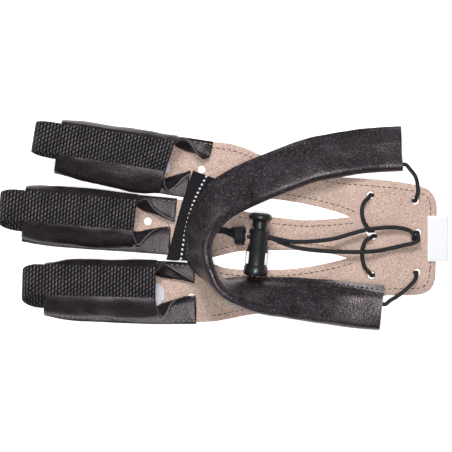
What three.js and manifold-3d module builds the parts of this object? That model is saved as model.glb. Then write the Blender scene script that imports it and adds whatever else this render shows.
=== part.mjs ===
// Three-finger archery glove, lying on its palm side with the finger stalls toward -X.
// Millimetres, +Z up. The origin is the middle of the footprint, on the surface it lies on.
// Tables give places as shares of the named sizes: x of GLOVE_LENGTH and y of GLOVE_WIDTH.
import * as THREE from 'three';
import { mergeVertices } from 'three/addons/utils/BufferGeometryUtils.js';
import Module from 'manifold-3d';

// Driving dimensions
const GLOVE_LENGTH = 216;
const GLOVE_WIDTH = 101;
const GAP = 0.3;

const PANEL_WALL = 2.0;
const PLATE_LIFT = 2.4;
const STRIP_INSET = 0.5;
const LACE_HOLE = 3.6;
const BASE_HOLE = 3.6;

const STALL_LENGTH = 53.4;
const STALL_WIDTH = 28;
const STALL_HEIGHT = 10.5;
const STALL_WALL = 1.2;
const WING_LENGTH = 20;

const ELASTIC_WIDTH = 14.6;
const ELASTIC_WALL = 1.4;
const ELASTIC_TUCK = 8;
const LINER_WALL = 0.6;
const LINER_LENGTH = 26;

const SLEEVE_WIDTH = 21.5;
const SLEEVE_DEPTH = 6;
const SLEEVE_WALL = 1.25;
const SEAM_DEPTH = 2.5;

const TAPE_WIDTH = 12.5;
const TAPE_WALL = 0.7;
const LABEL_WALL = 0.5;

const CORD_DIAMETER = 2;
const CORD_STEP = 7;

const LOCK_RADIUS = 5.8;
const LOCK_NECK_RADIUS = 4.8;
const LOCK_BORE_RADIUS = 3.8;
const LOCK_TRAVEL = 3.4;
const LOCK_CLEARANCE = 0.3;
const LOCK_SIDES = 20;

// Colours and surfaces
const SUEDE = new THREE.MeshStandardMaterial({ color: 0xb9a596, roughness: 0.95 });
const LEATHER = new THREE.MeshStandardMaterial({ color: 0x2a272b, roughness: 0.55 });
const WEBBING = new THREE.MeshStandardMaterial({ color: 0x2b292e, roughness: 0.9 });
const FELT = new THREE.MeshStandardMaterial({ color: 0xc9c8cf, roughness: 0.9 });
const TAPE = new THREE.MeshStandardMaterial({ color: 0x2c2c30, roughness: 0.85 });
const CORD = new THREE.MeshStandardMaterial({ color: 0x26282c, roughness: 0.7 });
const PLASTIC = new THREE.MeshStandardMaterial({ color: 0x1d1d21, roughness: 0.4 });
const LABEL = new THREE.MeshStandardMaterial({ color: 0xeeeeef, roughness: 0.8 });

// Palm panel edges, each a smooth run between two corners
const UPPER_EDGE = [
  { x: -0.028, y: 0.400 }, { x: 0.010, y: 0.391 }, { x: 0.049, y: 0.366 }, { x: 0.077, y: 0.339 },
  { x: 0.143, y: 0.288 }, { x: 0.210, y: 0.250 }, { x: 0.260, y: 0.230 }, { x: 0.321, y: 0.220 },
  { x: 0.386, y: 0.206 }, { x: 0.430, y: 0.189 }, { x: 0.453, y: 0.168 }, { x: 0.466, y: 0.130 },
  { x: 0.470, y: 0.086 },
];
const LOWER_EDGE = [
  { x: 0.467, y: -0.215 }, { x: 0.465, y: -0.262 }, { x: 0.455, y: -0.302 }, { x: 0.436, y: -0.324 },
  { x: 0.405, y: -0.329 }, { x: 0.352, y: -0.332 }, { x: 0.254, y: -0.358 }, { x: 0.166, y: -0.386 },
  { x: 0.086, y: -0.415 }, { x: 0.046, y: -0.427 }, { x: 0.012, y: -0.442 }, { x: -0.023, y: -0.456 },
];
const LOWER_SLOT_NEAR = [
  { x: -0.070, y: -0.174 }, { x: -0.030, y: -0.180 }, { x: -0.006, y: -0.198 }, { x: 0.039, y: -0.209 },
  { x: 0.092, y: -0.211 }, { x: 0.148, y: -0.205 }, { x: 0.199, y: -0.191 }, { x: 0.250, y: -0.168 },
  { x: 0.272, y: -0.154 },
];
const LOWER_SLOT_FAR = [
  { x: 0.272, y: -0.154 }, { x: 0.232, y: -0.132 }, { x: 0.181, y: -0.117 }, { x: 0.114, y: -0.117 },
  { x: 0.039, y: -0.120 }, { x: -0.006, y: -0.139 }, { x: -0.030, y: -0.150 }, { x: -0.070, y: -0.152 },
];
const UPPER_SLOT_NEAR = [
  { x: -0.050, y: 0.112 }, { x: -0.030, y: 0.103 }, { x: 0.041, y: 0.068 }, { x: 0.106, y: 0.042 },
  { x: 0.148, y: 0.032 }, { x: 0.181, y: 0.027 }, { x: 0.232, y: 0.032 }, { x: 0.279, y: 0.041 },
];
const UPPER_SLOT_FAR = [
  { x: 0.279, y: 0.041 }, { x: 0.250, y: 0.065 }, { x: 0.199, y: 0.094 }, { x: 0.148, y: 0.115 },
  { x: 0.103, y: 0.127 }, { x: 0.032, y: 0.132 }, { x: -0.030, y: 0.134 }, { x: -0.050, y: 0.135 },
];
const BASE_HOLES = [
  { x: -0.053, y: 0.268 }, { x: -0.173, y: 0.021 }, { x: -0.076, y: -0.341 },
];
// Lacing holes; the two middle ones each hold two passes of the cord
const LACING = {
  topLeft: [{ x: 0.3227, y: 0.1465 }],
  topRight: [{ x: 0.4222, y: 0.1178 }],
  bottomLeft: [{ x: 0.3245, y: -0.2366 }],
  bottomRight: [{ x: 0.4255, y: -0.2228 }],
  middleLeft: [{ x: 0.3194, y: -0.0248 }, { x: 0.3287, y: -0.0485 }],
  middleRight: [{ x: 0.4273, y: -0.0327 }, { x: 0.4218, y: -0.0634 }],
};
// The wrist end of the panel lies over the cord, so it is lifted between these places
const LIFT_ALONG = [
  { x: 0.214, lift: 0 }, { x: 0.235, lift: 0.12 }, { x: 0.259, lift: 0.5 }, { x: 0.282, lift: 0.88 },
  { x: 0.303, lift: 1 }, { x: 0.435, lift: 1 }, { x: 0.452, lift: 0.85 }, { x: 0.480, lift: 0.5 },
];
const LIFT_ACROSS = [
  { y: -0.345, lift: 0.15 }, { y: -0.305, lift: 0.6 }, { y: -0.268, lift: 0.97 }, { y: -0.230, lift: 1 },
  { y: 0.150, lift: 1 }, { y: 0.180, lift: 0.92 }, { y: 0.215, lift: 0.55 }, { y: 0.260, lift: 0.15 },
];

// Finger stalls. strip is the share of GLOVE_LENGTH at which the finger's strip meets the palm.
// Body rows: s is a share of STALL_LENGTH, half, roots, bellies and shoulders are
// shares of half the STALL_WIDTH, rise a share of STALL_HEIGHT. Wing rows: foot and edge are shares
// of WING_LENGTH past the body, root and t shares of half the width, z a share of STALL_HEIGHT.
const FINGERS = [
  {
    name: 'upper', x: -0.372, y: 0.374, angle: -9.1, slant: 0.147, elastic: 0.28, reach: 11.6, drift: -2.6,
    strip: -0.067,
    body: [
      { s: 0.00, half: 0.91, rise: 0.80, rootLow: 0.78, bellyLow: 0.87, rootUp: 0.80 },
      { s: 0.20, half: 0.97, rise: 0.92, rootLow: 0.82, bellyLow: 0.93, rootUp: 0.84 },
      { s: 0.50, half: 1.00, rise: 1.00, rootLow: 0.84, bellyLow: 0.99, rootUp: 0.84 },
      { s: 0.86, half: 1.02, rise: 1.00, rootLow: 0.84, bellyLow: 1.00, rootUp: 0.84 },
      { s: 1.00, half: 1.02, rise: 1.00, rootLow: 0.52, bellyLow: 0.97, rootUp: 0.72 },
      { s: 1.37, half: 1.03, rise: 1.00, rootLow: 0.52, bellyLow: 0.97, rootUp: 0.72 },
    ],
    wingUp: [
      { foot: 0.000, edge: 0.000, root: 0.72, t: 0.70, z: 0.93 },
      { foot: 0.100, edge: 0.100, root: 0.68, t: 0.84, z: 0.78 },
      { foot: 0.270, edge: 0.270, root: 0.62, t: 0.94, z: 0.60 },
      { foot: 0.430, edge: 0.430, root: 0.58, t: 0.86, z: 0.50 },
      { foot: 0.660, edge: 0.640, root: 0.55, t: 0.55, z: 0.34 },
      { foot: 0.985, edge: 0.805, root: 0.50, t: 0.36, z: 0.16 },
    ],
    wingLow: [
      { foot: 0.000, edge: 0.000, root: 0.52, t: 0.41, z: 0.93 },
      { foot: 0.062, edge: 0.062, root: 0.50, t: 0.68, z: 0.80 },
      { foot: 0.157, edge: 0.157, root: 0.43, t: 0.88, z: 0.58 },
      { foot: 0.223, edge: 0.223, root: 0.37, t: 0.81, z: 0.50 },
      { foot: 0.300, edge: 0.300, root: 0.31, t: 0.64, z: 0.42 },
      { foot: 0.420, edge: 0.420, root: 0.22, t: 0.39, z: 0.30 },
      { foot: 0.560, edge: 0.570, root: 0.10, t: 0.19, z: 0.12 },
    ],
  },
  {
    name: 'middle', x: -0.448, y: 0.057, angle: -5.0, slant: 0.02, elastic: 0.28, reach: 11.2, drift: -5.2,
    strip: -0.140,
    body: [
      { s: 0.00, half: 0.95, rise: 0.80, rootLow: 0.72, bellyLow: 0.80, rootUp: 0.80 },
      { s: 0.20, half: 1.02, rise: 0.92, rootLow: 0.72, bellyLow: 0.82, rootUp: 0.84 },
      { s: 0.50, half: 1.03, rise: 1.00, rootLow: 0.72, bellyLow: 0.84, rootUp: 0.84 },
      { s: 0.86, half: 1.00, rise: 1.00, rootLow: 0.70, bellyLow: 0.84, rootUp: 0.84 },
      { s: 1.00, half: 0.99, rise: 1.00, rootLow: 0.32, bellyLow: 0.80, rootUp: 0.60 },
      { s: 1.37, half: 0.98, rise: 1.00, rootLow: 0.32, bellyLow: 0.80, rootUp: 0.60 },
    ],
    wingUp: [
      { foot: 0.000, edge: 0.000, root: 0.60, t: 0.67, z: 0.94 },
      { foot: 0.070, edge: 0.070, root: 0.56, t: 0.78, z: 0.82 },
      { foot: 0.180, edge: 0.180, root: 0.50, t: 0.87, z: 0.64 },
      { foot: 0.280, edge: 0.280, root: 0.46, t: 0.83, z: 0.54 },
      { foot: 0.385, edge: 0.385, root: 0.43, t: 0.64, z: 0.44 },
      { foot: 0.540, edge: 0.540, root: 0.38, t: 0.48, z: 0.30 },
      { foot: 0.720, edge: 0.720, root: 0.28, t: 0.33, z: 0.20 },
      { foot: 0.960, edge: 0.910, root: 0.20, t: 0.25, z: 0.10 },
    ],
    wingLow: [
      { foot: 0.000, edge: 0.000, root: 0.32, t: 0.31, z: 0.95 },
      { foot: 0.040, edge: 0.040, root: 0.31, t: 0.50, z: 0.85 },
      { foot: 0.125, edge: 0.125, root: 0.30, t: 0.72, z: 0.62 },
      { foot: 0.210, edge: 0.210, root: 0.27, t: 0.61, z: 0.52 },
      { foot: 0.295, edge: 0.295, root: 0.23, t: 0.44, z: 0.42 },
      { foot: 0.450, edge: 0.405, root: 0.17, t: 0.27, z: 0.30 },
      { foot: 0.650, edge: 0.540, root: 0.09, t: 0.14, z: 0.18 },
      { foot: 0.890, edge: 0.680, root: 0.04, t: 0.08, z: 0.08 },
    ],
  },
  {
    name: 'lower', x: -0.402, y: -0.303, angle: -1.6, slant: 0.0, elastic: 0.35, reach: 10.0, drift: -6.6,
    strip: -0.093,
    body: [
      { s: 0.00, half: 0.89, rise: 0.80, rootLow: 0.80, bellyLow: 0.86, rootUp: 0.80 },
      { s: 0.20, half: 1.03, rise: 0.92, rootLow: 0.72, bellyLow: 0.80, rootUp: 0.84 },
      { s: 0.50, half: 1.07, rise: 1.00, rootLow: 0.70, bellyLow: 0.79, rootUp: 0.84 },
      { s: 0.86, half: 1.09, rise: 1.00, rootLow: 0.70, bellyLow: 0.80, rootUp: 0.84 },
      { s: 1.00, half: 1.09, rise: 1.00, rootLow: 0.58, bellyLow: 0.79, rootUp: 0.60 },
      { s: 1.40, half: 1.04, rise: 1.00, rootLow: 0.58, bellyLow: 0.79, rootUp: 0.60 },
    ],
    wingUp: [
      { foot: 0.000, edge: 0.030, root: 0.60, t: 0.70, z: 0.94 },
      { foot: 0.075, edge: 0.075, root: 0.56, t: 0.88, z: 0.78 },
      { foot: 0.160, edge: 0.160, root: 0.54, t: 1.00, z: 0.56 },
      { foot: 0.265, edge: 0.265, root: 0.52, t: 0.96, z: 0.34 },
      { foot: 0.460, edge: 0.460, root: 0.50, t: 0.79, z: 0.24 },
      { foot: 0.680, edge: 0.680, root: 0.45, t: 0.61, z: 0.20 },
      { foot: 0.920, edge: 0.900, root: 0.36, t: 0.44, z: 0.14 },
    ],
    wingLow: [
      { foot: 0.000, edge: 0.010, root: 0.58, t: 0.25, z: 0.94 },
      { foot: 0.030, edge: 0.030, root: 0.56, t: 0.46, z: 0.84 },
      { foot: 0.080, edge: 0.080, root: 0.50, t: 0.66, z: 0.72 },
      { foot: 0.180, edge: 0.180, root: 0.43, t: 0.82, z: 0.58 },
      { foot: 0.285, edge: 0.285, root: 0.36, t: 0.67, z: 0.48 },
      { foot: 0.370, edge: 0.350, root: 0.31, t: 0.45, z: 0.40 },
      { foot: 0.520, edge: 0.455, root: 0.24, t: 0.26, z: 0.28 },
      { foot: 0.740, edge: 0.600, root: 0.15, t: 0.16, z: 0.18 },
      { foot: 0.990, edge: 0.720, root: 0.10, t: 0.135, z: 0.10 },
    ],
  },
];
// Cross-section shared by the stalls: shares of half the width and of the height
const UPPER_BELLY = { t: 0.985, z: 0.42 };
const LOWER_BELLY_RISE = 0.42;
const UPPER_SHOULDER = { t: 0.84, z: 0.87 };
const LOWER_SHOULDER = { t: 0.26, z: 0.95 };
const CREST = { t: 0.30, z: 1.0 };
const BODY_STATIONS = [0, 0.08, 0.2, 0.35, 0.5, 0.68, 0.86, 0.94, 1];
const WING_BELLY = 0.24;
const LINERS = [{ finger: 0, shift: -0.10, width: 10, past: 1.2 }, { finger: 2, shift: -0.07, width: 12.6, past: 4.2 }];

// Wrist sleeve, from the upper arm's open end round the bend to the lower arm's. roll is the angle
// of its width in degrees from the inside of the bend upward, rest the layers under its seam,
// lane the share of the width at which the cord runs inside it.
const SLEEVE_ROWS = [
  { x: 0.392, y: 0.380, rest: 0.42, roll: 5.5, lane: 0.99 },
  { x: 0.339, y: 0.376, rest: 0.25, roll: 7.5, lane: 0.98 },
  { x: 0.287, y: 0.365, rest: 0.45, roll: 10, lane: 0.97 },
  { x: 0.239, y: 0.347, rest: 0.70, roll: 10.5, lane: 0.97 },
  { x: 0.192, y: 0.324, rest: 0.85, roll: 10, lane: 0.97 },
  { x: 0.143, y: 0.290, rest: 0.95, roll: 10, lane: 0.97 },
  { x: 0.095, y: 0.250, rest: 1.05, roll: 11, lane: 0.97 },
  { x: 0.036, y: 0.195, rest: 1.35, roll: 16, lane: 0.97 },
  { x: -0.008, y: 0.136, rest: 1.45, roll: 26, lane: 0.97 },
  { x: -0.038, y: 0.067, rest: 1.60, roll: 41, lane: 0.97 },
  { x: -0.057, y: -0.006, rest: 1.70, roll: 53, lane: 0.97 },
  { x: -0.065, y: -0.087, rest: 1.75, roll: 60, lane: 0.97 },
  { x: -0.059, y: -0.170, rest: 1.70, roll: 65, lane: 0.97 },
  { x: -0.040, y: -0.230, rest: 1.45, roll: 76, lane: 0.97 },
  { x: -0.021, y: -0.265, rest: 1.15, roll: 92, lane: 0.97 },
  { x: 0.001, y: -0.287, rest: 1.10, roll: 108, lane: 0.97 },
  { x: 0.036, y: -0.303, rest: 1.10, roll: 124, lane: 0.96 },
  { x: 0.083, y: -0.321, rest: 1.10, roll: 138, lane: 0.95 },
  { x: 0.147, y: -0.331, rest: 1.15, roll: 153, lane: 0.90 },
  { x: 0.199, y: -0.342, rest: 1.25, roll: 164, lane: 0.82 },
  { x: 0.250, y: -0.353, rest: 1.60, roll: 175, lane: 0.70 },
  { x: 0.299, y: -0.366, rest: 2.00, roll: 183, lane: 0.58 },
  { x: 0.348, y: -0.378, rest: 2.15, roll: 188, lane: 0.47 },
];
// Sleeve section: w is the share of the width from the seam edge to the middle of the fold,
// depth the share of SLEEVE_DEPTH
const SLEEVE_SECTION = [
  { w: 0.00, depth: 0.42 }, { w: 0.15, depth: 0.46 }, { w: 0.30, depth: 0.80 }, { w: 0.48, depth: 0.92 },
  { w: 0.74, depth: 1.00 }, { w: 1.00, depth: 1.00 },
];
const SEAM_MARGIN = 0.22;
const FOLD_ANGLES = [60, 30, 0, -30, -60];

// Tape across the finger bases: its left edge, and the layers under its left and right edges
const TAPE_ROWS = [
  { x: -0.072, y: 0.262, rest: 1.75, tucked: 1.0 }, { x: -0.092, y: 0.141, rest: 1.75, tucked: 1.0 },
  { x: -0.109, y: 0.018, rest: 1.55, tucked: 1.0 }, { x: -0.121, y: -0.080, rest: 1.7, tucked: 1.1 },
  { x: -0.132, y: -0.163, rest: 1.75, tucked: 1.75 },
];
const TAPE_END = -0.163;
const LABEL_ROWS = [
  { x: 0.449, y: 0.048, end: -0.170 }, { x: 0.462, y: 0.048, end: -0.170 }, { x: 0.478, y: 0.047, end: -0.169 },
  { x: 0.492, y: 0.047, end: -0.168 },
];

// Cord route in millimetres, from the knot round to the knot again. Names are lacing holes.
const CORD_ROUTE = [
  [10.3, -5.4, 9.3], [15.9, -5.5, 9.3], [21.5, -5.7, 9.2], [31.4, -7.6, 7.6], [41.8, -7.5, 6.8],
  [52.1, -6.2, 7.0], [60.2, -3.9, 7.6], [67.4, -2.0, 8.0], [79.8, -0.8, 6.9], [85.4, -1.5, 6.4],
  [89.3, -3.0, 6.1],
  { hole: 'middleRight', pass: 1 },
  [81.0, -6.2, 1.15],
  { hole: 'middleLeft', pass: 1 },
  [67.3, -7.2, 5.8], [65.8, -10.6, 5.6], [65.5, -14.4, 5.5], [66.7, -19.8, 5.5],
  { hole: 'bottomLeft', pass: 0 },
  [81.0, -23.6, 1.15],
  { hole: 'bottomRight', pass: 0 },
  [90.8, -26.2, 5.8], [88.9, -28.3, 5.8], [86.2, -30.3, 5.7], [82.9, -32.6, 5.5], [79.3, -34.9, 5.3],
  'sleeve',
  [88.6, 27.2, 3.6], [91.2, 23.6, 4.7], [92.2, 19.5, 5.6], [92.3, 15.8, 5.9],
  { hole: 'topRight', pass: 0 },
  [80.5, 13.4, 1.15],
  { hole: 'topLeft', pass: 0 },
  [66.3, 10.8, 5.6], [65.4, 6.6, 5.6], [66.4, 1.9, 5.6],
  { hole: 'middleLeft', pass: 0 },
  [80.5, -1.9, 1.15],
  { hole: 'middleRight', pass: 0 },
  [92.4, -7.0, 7.4], [89.6, -8.5, 7.3], [86.0, -9.3, 6.9], [79.8, -10.7, 6.4], [72.7, -12.1, 7.2],
  [66.2, -12.6, 7.9], [57.8, -12.6, 7.2], [48.7, -12.3, 6.5], [34.8, -10.7, 6.3], [27.9, -8.6, 6.5],
  [21.7, -6.1, 7.0], [15.9, -5.5, 7.0], [10.3, -5.4, 7.0],
];
const CORD_LIE = 1.35;
const PASS_REACH = 2.2;
const PASS_LEAN = 0.3;

// Cord lock: the sleeve row it stands at, its foot's distance from that row's middle line, its turn
// in the plane, and lengths from where the cord crosses it
const LOCK_ROW = 17;
const LOCK_SEAT = 8.356;
const LOCK_SHIFT = -2.182;
const LOCK_TURN = -5.4;
const LOCK_TOP = 5.6;
const LOCK_STEP = -4.4;
const LOCK_FOOT = -17.0;
const LOCK_COLLAR = -12.3;
const LOCK_BORE_FOOT = -9.6;
const BUTTON_TOP = 13.3;
const BUTTON_FLANGE = 9.7;
const BUTTON_RADIUS = 5.7;
const TAIL_RADIUS = 2.9;
const EYE_LENGTH = 6;
const EYE_DEPTH = 4.9;
const KNOT_RADIUS = 4.6;
const KNOT_GAP = 0.946;
const KNOT_RISE = 2.241;

// Solids and sheets
const wasm = await Module();
wasm.setup();

function signedVolume(points, index) {
  let sum = 0;
  const [a, b, c] = [new THREE.Vector3(), new THREE.Vector3(), new THREE.Vector3()];
  for (let i = 0; i < index.length; i += 3) {
    a.fromArray(points, index[i] * 3);
    b.fromArray(points, index[i + 1] * 3);
    c.fromArray(points, index[i + 2] * 3);
    sum += a.dot(b.cross(c));
  }
  return sum / 6;
}

// Merged position-only geometry, without flat triangles and with its faces pointing out
function closed(geometry) {
  const bare = geometry.clone();
  for (const name of Object.keys(bare.attributes)) {
    if (name !== 'position') bare.deleteAttribute(name);
  }
  const merged = mergeVertices(bare, 1e-4);
  const kept = [];
  const index = merged.index.array;
  for (let i = 0; i < index.length; i += 3) {
    const [a, b, c] = [index[i], index[i + 1], index[i + 2]];
    if (a !== b && b !== c && c !== a) kept.push(a, b, c);
  }
  const points = merged.attributes.position.array;
  if (signedVolume(points, kept) < 0) {
    for (let i = 0; i < kept.length; i += 3) [kept[i + 1], kept[i + 2]] = [kept[i + 2], kept[i + 1]];
  }
  merged.setIndex(kept);
  return merged;
}

function toSolid(geometry) {
  const shell = closed(geometry);
  return new wasm.Manifold(new wasm.Mesh({
    numProp: 3,
    vertProperties: new Float32Array(shell.attributes.position.array),
    triVerts: new Uint32Array(shell.index.array),
  }));
}

function toGeometry(solid) {
  const mesh = solid.getMesh();
  const geometry = new THREE.BufferGeometry();
  geometry.setAttribute('position', new THREE.BufferAttribute(new Float32Array(mesh.vertProperties), 3));
  geometry.setIndex(Array.from(mesh.triVerts));
  return geometry;
}

function indexed(points, triangles) {
  const geometry = new THREE.BufferGeometry();
  geometry.setAttribute('position', new THREE.Float32BufferAttribute(points.flatMap((p) => p.toArray()), 3));
  geometry.setIndex(triangles.flat());
  return closed(geometry);
}

// Quads of a grid of rows that all have the same number of points
function gridQuads(rows, columns, start = 0) {
  const quads = [];
  for (let i = 0; i + 1 < rows; i += 1) {
    for (let j = 0; j + 1 < columns; j += 1) {
      const a = start + i * columns + j;
      quads.push([a, a + 1, a + columns + 1, a + columns]);
    }
  }
  return quads;
}

// Even wall on both sides of a sheet, with its rim closed
function thickSheet(points, quads, wall) {
  const normals = points.map(() => new THREE.Vector3());
  const rim = new Map();
  for (const quad of quads) {
    const [a, b, c, d] = quad.map((i) => points[i]);
    const normal = c.clone().sub(a).cross(d.clone().sub(b)).normalize();
    quad.forEach((i, k) => {
      normals[i].add(normal);
      const next = quad[(k + 1) % 4];
      if (!rim.delete(`${next}_${i}`)) rim.set(`${i}_${next}`, [i, next]);
    });
  }
  const count = points.length;
  const both = [1, -1].flatMap((side) => points.map(
    (p, i) => p.clone().addScaledVector(normals[i].clone().normalize(), side * wall / 2),
  ));
  const triangles = [];
  for (const [a, b, c, d] of quads) {
    triangles.push([a, b, c], [a, c, d]);
    triangles.push([count + a, count + c, count + b], [count + a, count + d, count + c]);
  }
  for (const [a, b] of rim.values()) triangles.push([b, a, count + a], [b, count + a, count + b]);
  return indexed(both, triangles);
}

// Closed skin over rings with the same number of points, with a fan on each end
function loft(rings) {
  const size = rings[0].length;
  const points = rings.flat();
  const triangles = [];
  for (let i = 0; i + 1 < rings.length; i += 1) {
    for (let j = 0; j < size; j += 1) {
      const a = i * size + j;
      const b = i * size + (j + 1) % size;
      triangles.push([a, b, b + size], [a, b + size, a + size]);
    }
  }
  [0, rings.length - 1].forEach((ring, end) => {
    const middle = rings[ring].reduce((sum, p) => sum.add(p), new THREE.Vector3()).divideScalar(size);
    points.push(middle);
    for (let j = 0; j < size; j += 1) {
      const [a, b] = [ring * size + j, ring * size + (j + 1) % size];
      triangles.push(end ? [a, b, points.length - 1] : [b, a, points.length - 1]);
    }
  });
  return indexed(points, triangles);
}

// Smooth value of one column of a table at a place along it
function column(rows, place, key, value) {
  const last = rows.length - 1;
  if (value <= rows[0][place]) return rows[0][key];
  if (value >= rows[last][place]) return rows[last][key];
  let i = 0;
  while (rows[i + 1][place] < value) i += 1;
  const slope = (a, b) => (rows[b][key] - rows[a][key]) / (rows[b][place] - rows[a][place]);
  const width = rows[i + 1][place] - rows[i][place];
  const here = slope(i, i + 1);
  const before = i > 0 ? (slope(i - 1, i) + here) / 2 : here;
  const after = i + 1 < last ? (here + slope(i + 1, i + 2)) / 2 : here;
  const k = (value - rows[i][place]) / width;
  const h = [2 * k ** 3 - 3 * k ** 2 + 1, k ** 3 - 2 * k ** 2 + k, -2 * k ** 3 + 3 * k ** 2, k ** 3 - k ** 2];
  return h[0] * rows[i][key] + h[1] * width * before + h[2] * rows[i + 1][key] + h[3] * width * after;
}

function spot(row) {
  return new THREE.Vector2(row.x * GLOVE_LENGTH, row.y * GLOVE_WIDTH);
}

function smoothRun(rows, steps = 2) {
  const curve = new THREE.SplineCurve(rows.map(spot));
  return curve.getPoints((rows.length - 1) * steps);
}

function meshOf(name, geometry, material) {
  const mesh = new THREE.Mesh(geometry, material);
  mesh.name = name;
  return mesh;
}

// Height of the panel's underside
function lift(x, y) {
  const along = column(LIFT_ALONG, 'x', 'lift', x / GLOVE_LENGTH);
  const across = column(LIFT_ACROSS, 'y', 'lift', y / GLOVE_WIDTH);
  return PLATE_LIFT * along * across;
}

// Finger frame: s runs from the tip toward the wrist, t across it toward +Y
function onFinger(finger, s, t, z) {
  const turn = THREE.MathUtils.degToRad(finger.angle);
  const tip = spot(finger);
  return new THREE.Vector3(
    tip.x + s * Math.cos(turn) - t * Math.sin(turn),
    tip.y + s * Math.sin(turn) + t * Math.cos(turn),
    z,
  );
}

function halfWidth(finger, s) {
  return column(finger.body, 's', 'half', s / STALL_LENGTH) * STALL_WIDTH / 2;
}

// Finger strip edge from the tip to the palm, inset from the stall's foot
function stripEdge(finger, side, shares) {
  const reach = (finger.strip - finger.x) * GLOVE_LENGTH / Math.cos(THREE.MathUtils.degToRad(finger.angle));
  return shares.map((share) => {
    const s = share * reach;
    const p = onFinger(finger, s + STRIP_INSET * (share === 0), side * (halfWidth(finger, s) - STRIP_INSET), 0);
    return new THREE.Vector2(p.x, p.y);
  });
}

// Palm panel
function panelOutline() {
  const shares = [0, 0.16, 0.4, 0.64, 0.88, 1];
  const [upper, middle, lower] = FINGERS;
  const back = [...shares].reverse();
  return [
    ...stripEdge(upper, 1, shares),
    ...smoothRun(UPPER_EDGE),
    ...smoothRun(LOWER_EDGE),
    ...stripEdge(lower, -1, back),
    ...stripEdge(lower, 1, shares),
    ...smoothRun(LOWER_SLOT_NEAR),
    ...smoothRun(LOWER_SLOT_FAR).slice(1),
    ...stripEdge(middle, -1, back),
    ...stripEdge(middle, 1, shares),
    ...smoothRun(UPPER_SLOT_NEAR),
    ...smoothRun(UPPER_SLOT_FAR).slice(1),
    ...stripEdge(upper, -1, back),
  ];
}

// Round-ended hole through one or two places
function holePath(places, diameter) {
  const [a, b] = [places[0], places[places.length - 1]].map(spot);
  const heading = places.length > 1 ? Math.atan2(b.y - a.y, b.x - a.x) : 0;
  const path = new THREE.Path();
  path.absarc(b.x, b.y, diameter / 2, heading - Math.PI / 2, heading + Math.PI / 2);
  path.absarc(a.x, a.y, diameter / 2, heading + Math.PI / 2, heading + 3 * Math.PI / 2);
  return path;
}

function makePanel() {
  const outline = new THREE.Shape(panelOutline());
  outline.holes = [
    ...BASE_HOLES.map((place) => holePath([place], BASE_HOLE)),
    ...Object.values(LACING).map((places) => holePath(places, LACE_HOLE)),
  ];
  const tall = new THREE.ExtrudeGeometry(outline, { depth: 20, bevelEnabled: false, curveSegments: 6 });
  tall.translate(0, 0, -5);
  const edge = 0.56;
  const xs = [-edge, ...[...Array(11).keys()].map((i) => 0.210 + i * 0.026), edge];
  const ys = [-edge, ...[...Array(13).keys()].map((i) => -0.35 + i * 0.0508), edge];
  const points = xs.flatMap((x) => ys.map((y) => {
    const [px, py] = [x * GLOVE_LENGTH, y * GLOVE_WIDTH];
    return new THREE.Vector3(px, py, lift(px, py) + PANEL_WALL / 2);
  }));
  const slab = thickSheet(points, gridQuads(xs.length, ys.length), PANEL_WALL);
  return toGeometry(toSolid(slab).intersect(toSolid(tall)));
}

// Finger stalls
const sheetLevel = PANEL_WALL + GAP + STALL_WALL / 2;

// One side of a stall section from its foot on the panel up to its shoulder or free edge
function sidePoints(side, half, root, belly, top) {
  const rise = STALL_HEIGHT - STALL_WALL;
  const curve = new THREE.QuadraticBezierCurve(
    new THREE.Vector2(root, 0),
    new THREE.Vector2(2 * belly.t - (root + top.t) / 2, (2 * belly.z - top.z / 2) * rise),
    new THREE.Vector2(top.t, top.z * rise),
  );
  const wall = curve.getPoints(4);
  const feet = [new THREE.Vector2(half, 0), new THREE.Vector2((half + root) / 2, 0)];
  return [...feet, ...wall].map((p) => ({ t: side * p.x, z: sheetLevel + p.y }));
}

function bodySection(finger, s) {
  const share = s / STALL_LENGTH;
  const at = (key) => column(finger.body, 's', key, share);
  const unit = STALL_WIDTH / 2;
  const half = at('half') * unit;
  const rise = at('rise');
  const mouth = Math.max(0, (share - 0.86) / 0.14);
  const shoulder = (own, wing) => ({
    t: THREE.MathUtils.lerp(own.t, wing.t, mouth) * unit,
    z: THREE.MathUtils.lerp(own.z, wing.z, mouth) * rise,
  });
  const up = shoulder(UPPER_SHOULDER, finger.wingUp[0]);
  const low = shoulder(LOWER_SHOULDER, finger.wingLow[0]);
  const upper = sidePoints(1, half, at('rootUp') * unit, { t: UPPER_BELLY.t * half, z: UPPER_BELLY.z * rise }, up);
  const lower = sidePoints(-1, half, at('rootLow') * unit,
    { t: at('bellyLow') * half, z: LOWER_BELLY_RISE * rise }, low);
  const height = STALL_HEIGHT - STALL_WALL;
  const top = new THREE.SplineCurve([
    new THREE.Vector2(up.t, sheetLevel + up.z * height),
    new THREE.Vector2(CREST.t * unit, sheetLevel + CREST.z * rise * height),
    new THREE.Vector2(-low.t, sheetLevel + low.z * height),
  ]).getPoints(4).slice(1, -1).map((p) => ({ t: p.x, z: p.y }));
  return [...upper, ...top, ...lower.reverse()];
}

const SIDE_COLUMNS = 7;

function wingSection(finger, row, side) {
  const unit = STALL_WIDTH / 2;
  const half = halfWidth(finger, STALL_LENGTH + row.foot * WING_LENGTH);
  const fade = (1 - row.foot) ** 2;
  const belly = { t: ((row.root + row.t) / 2 + WING_BELLY * fade) * unit, z: row.z * 0.52 };
  return sidePoints(side, half, row.root * unit, belly, { t: row.t * unit, z: row.z });
}

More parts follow.
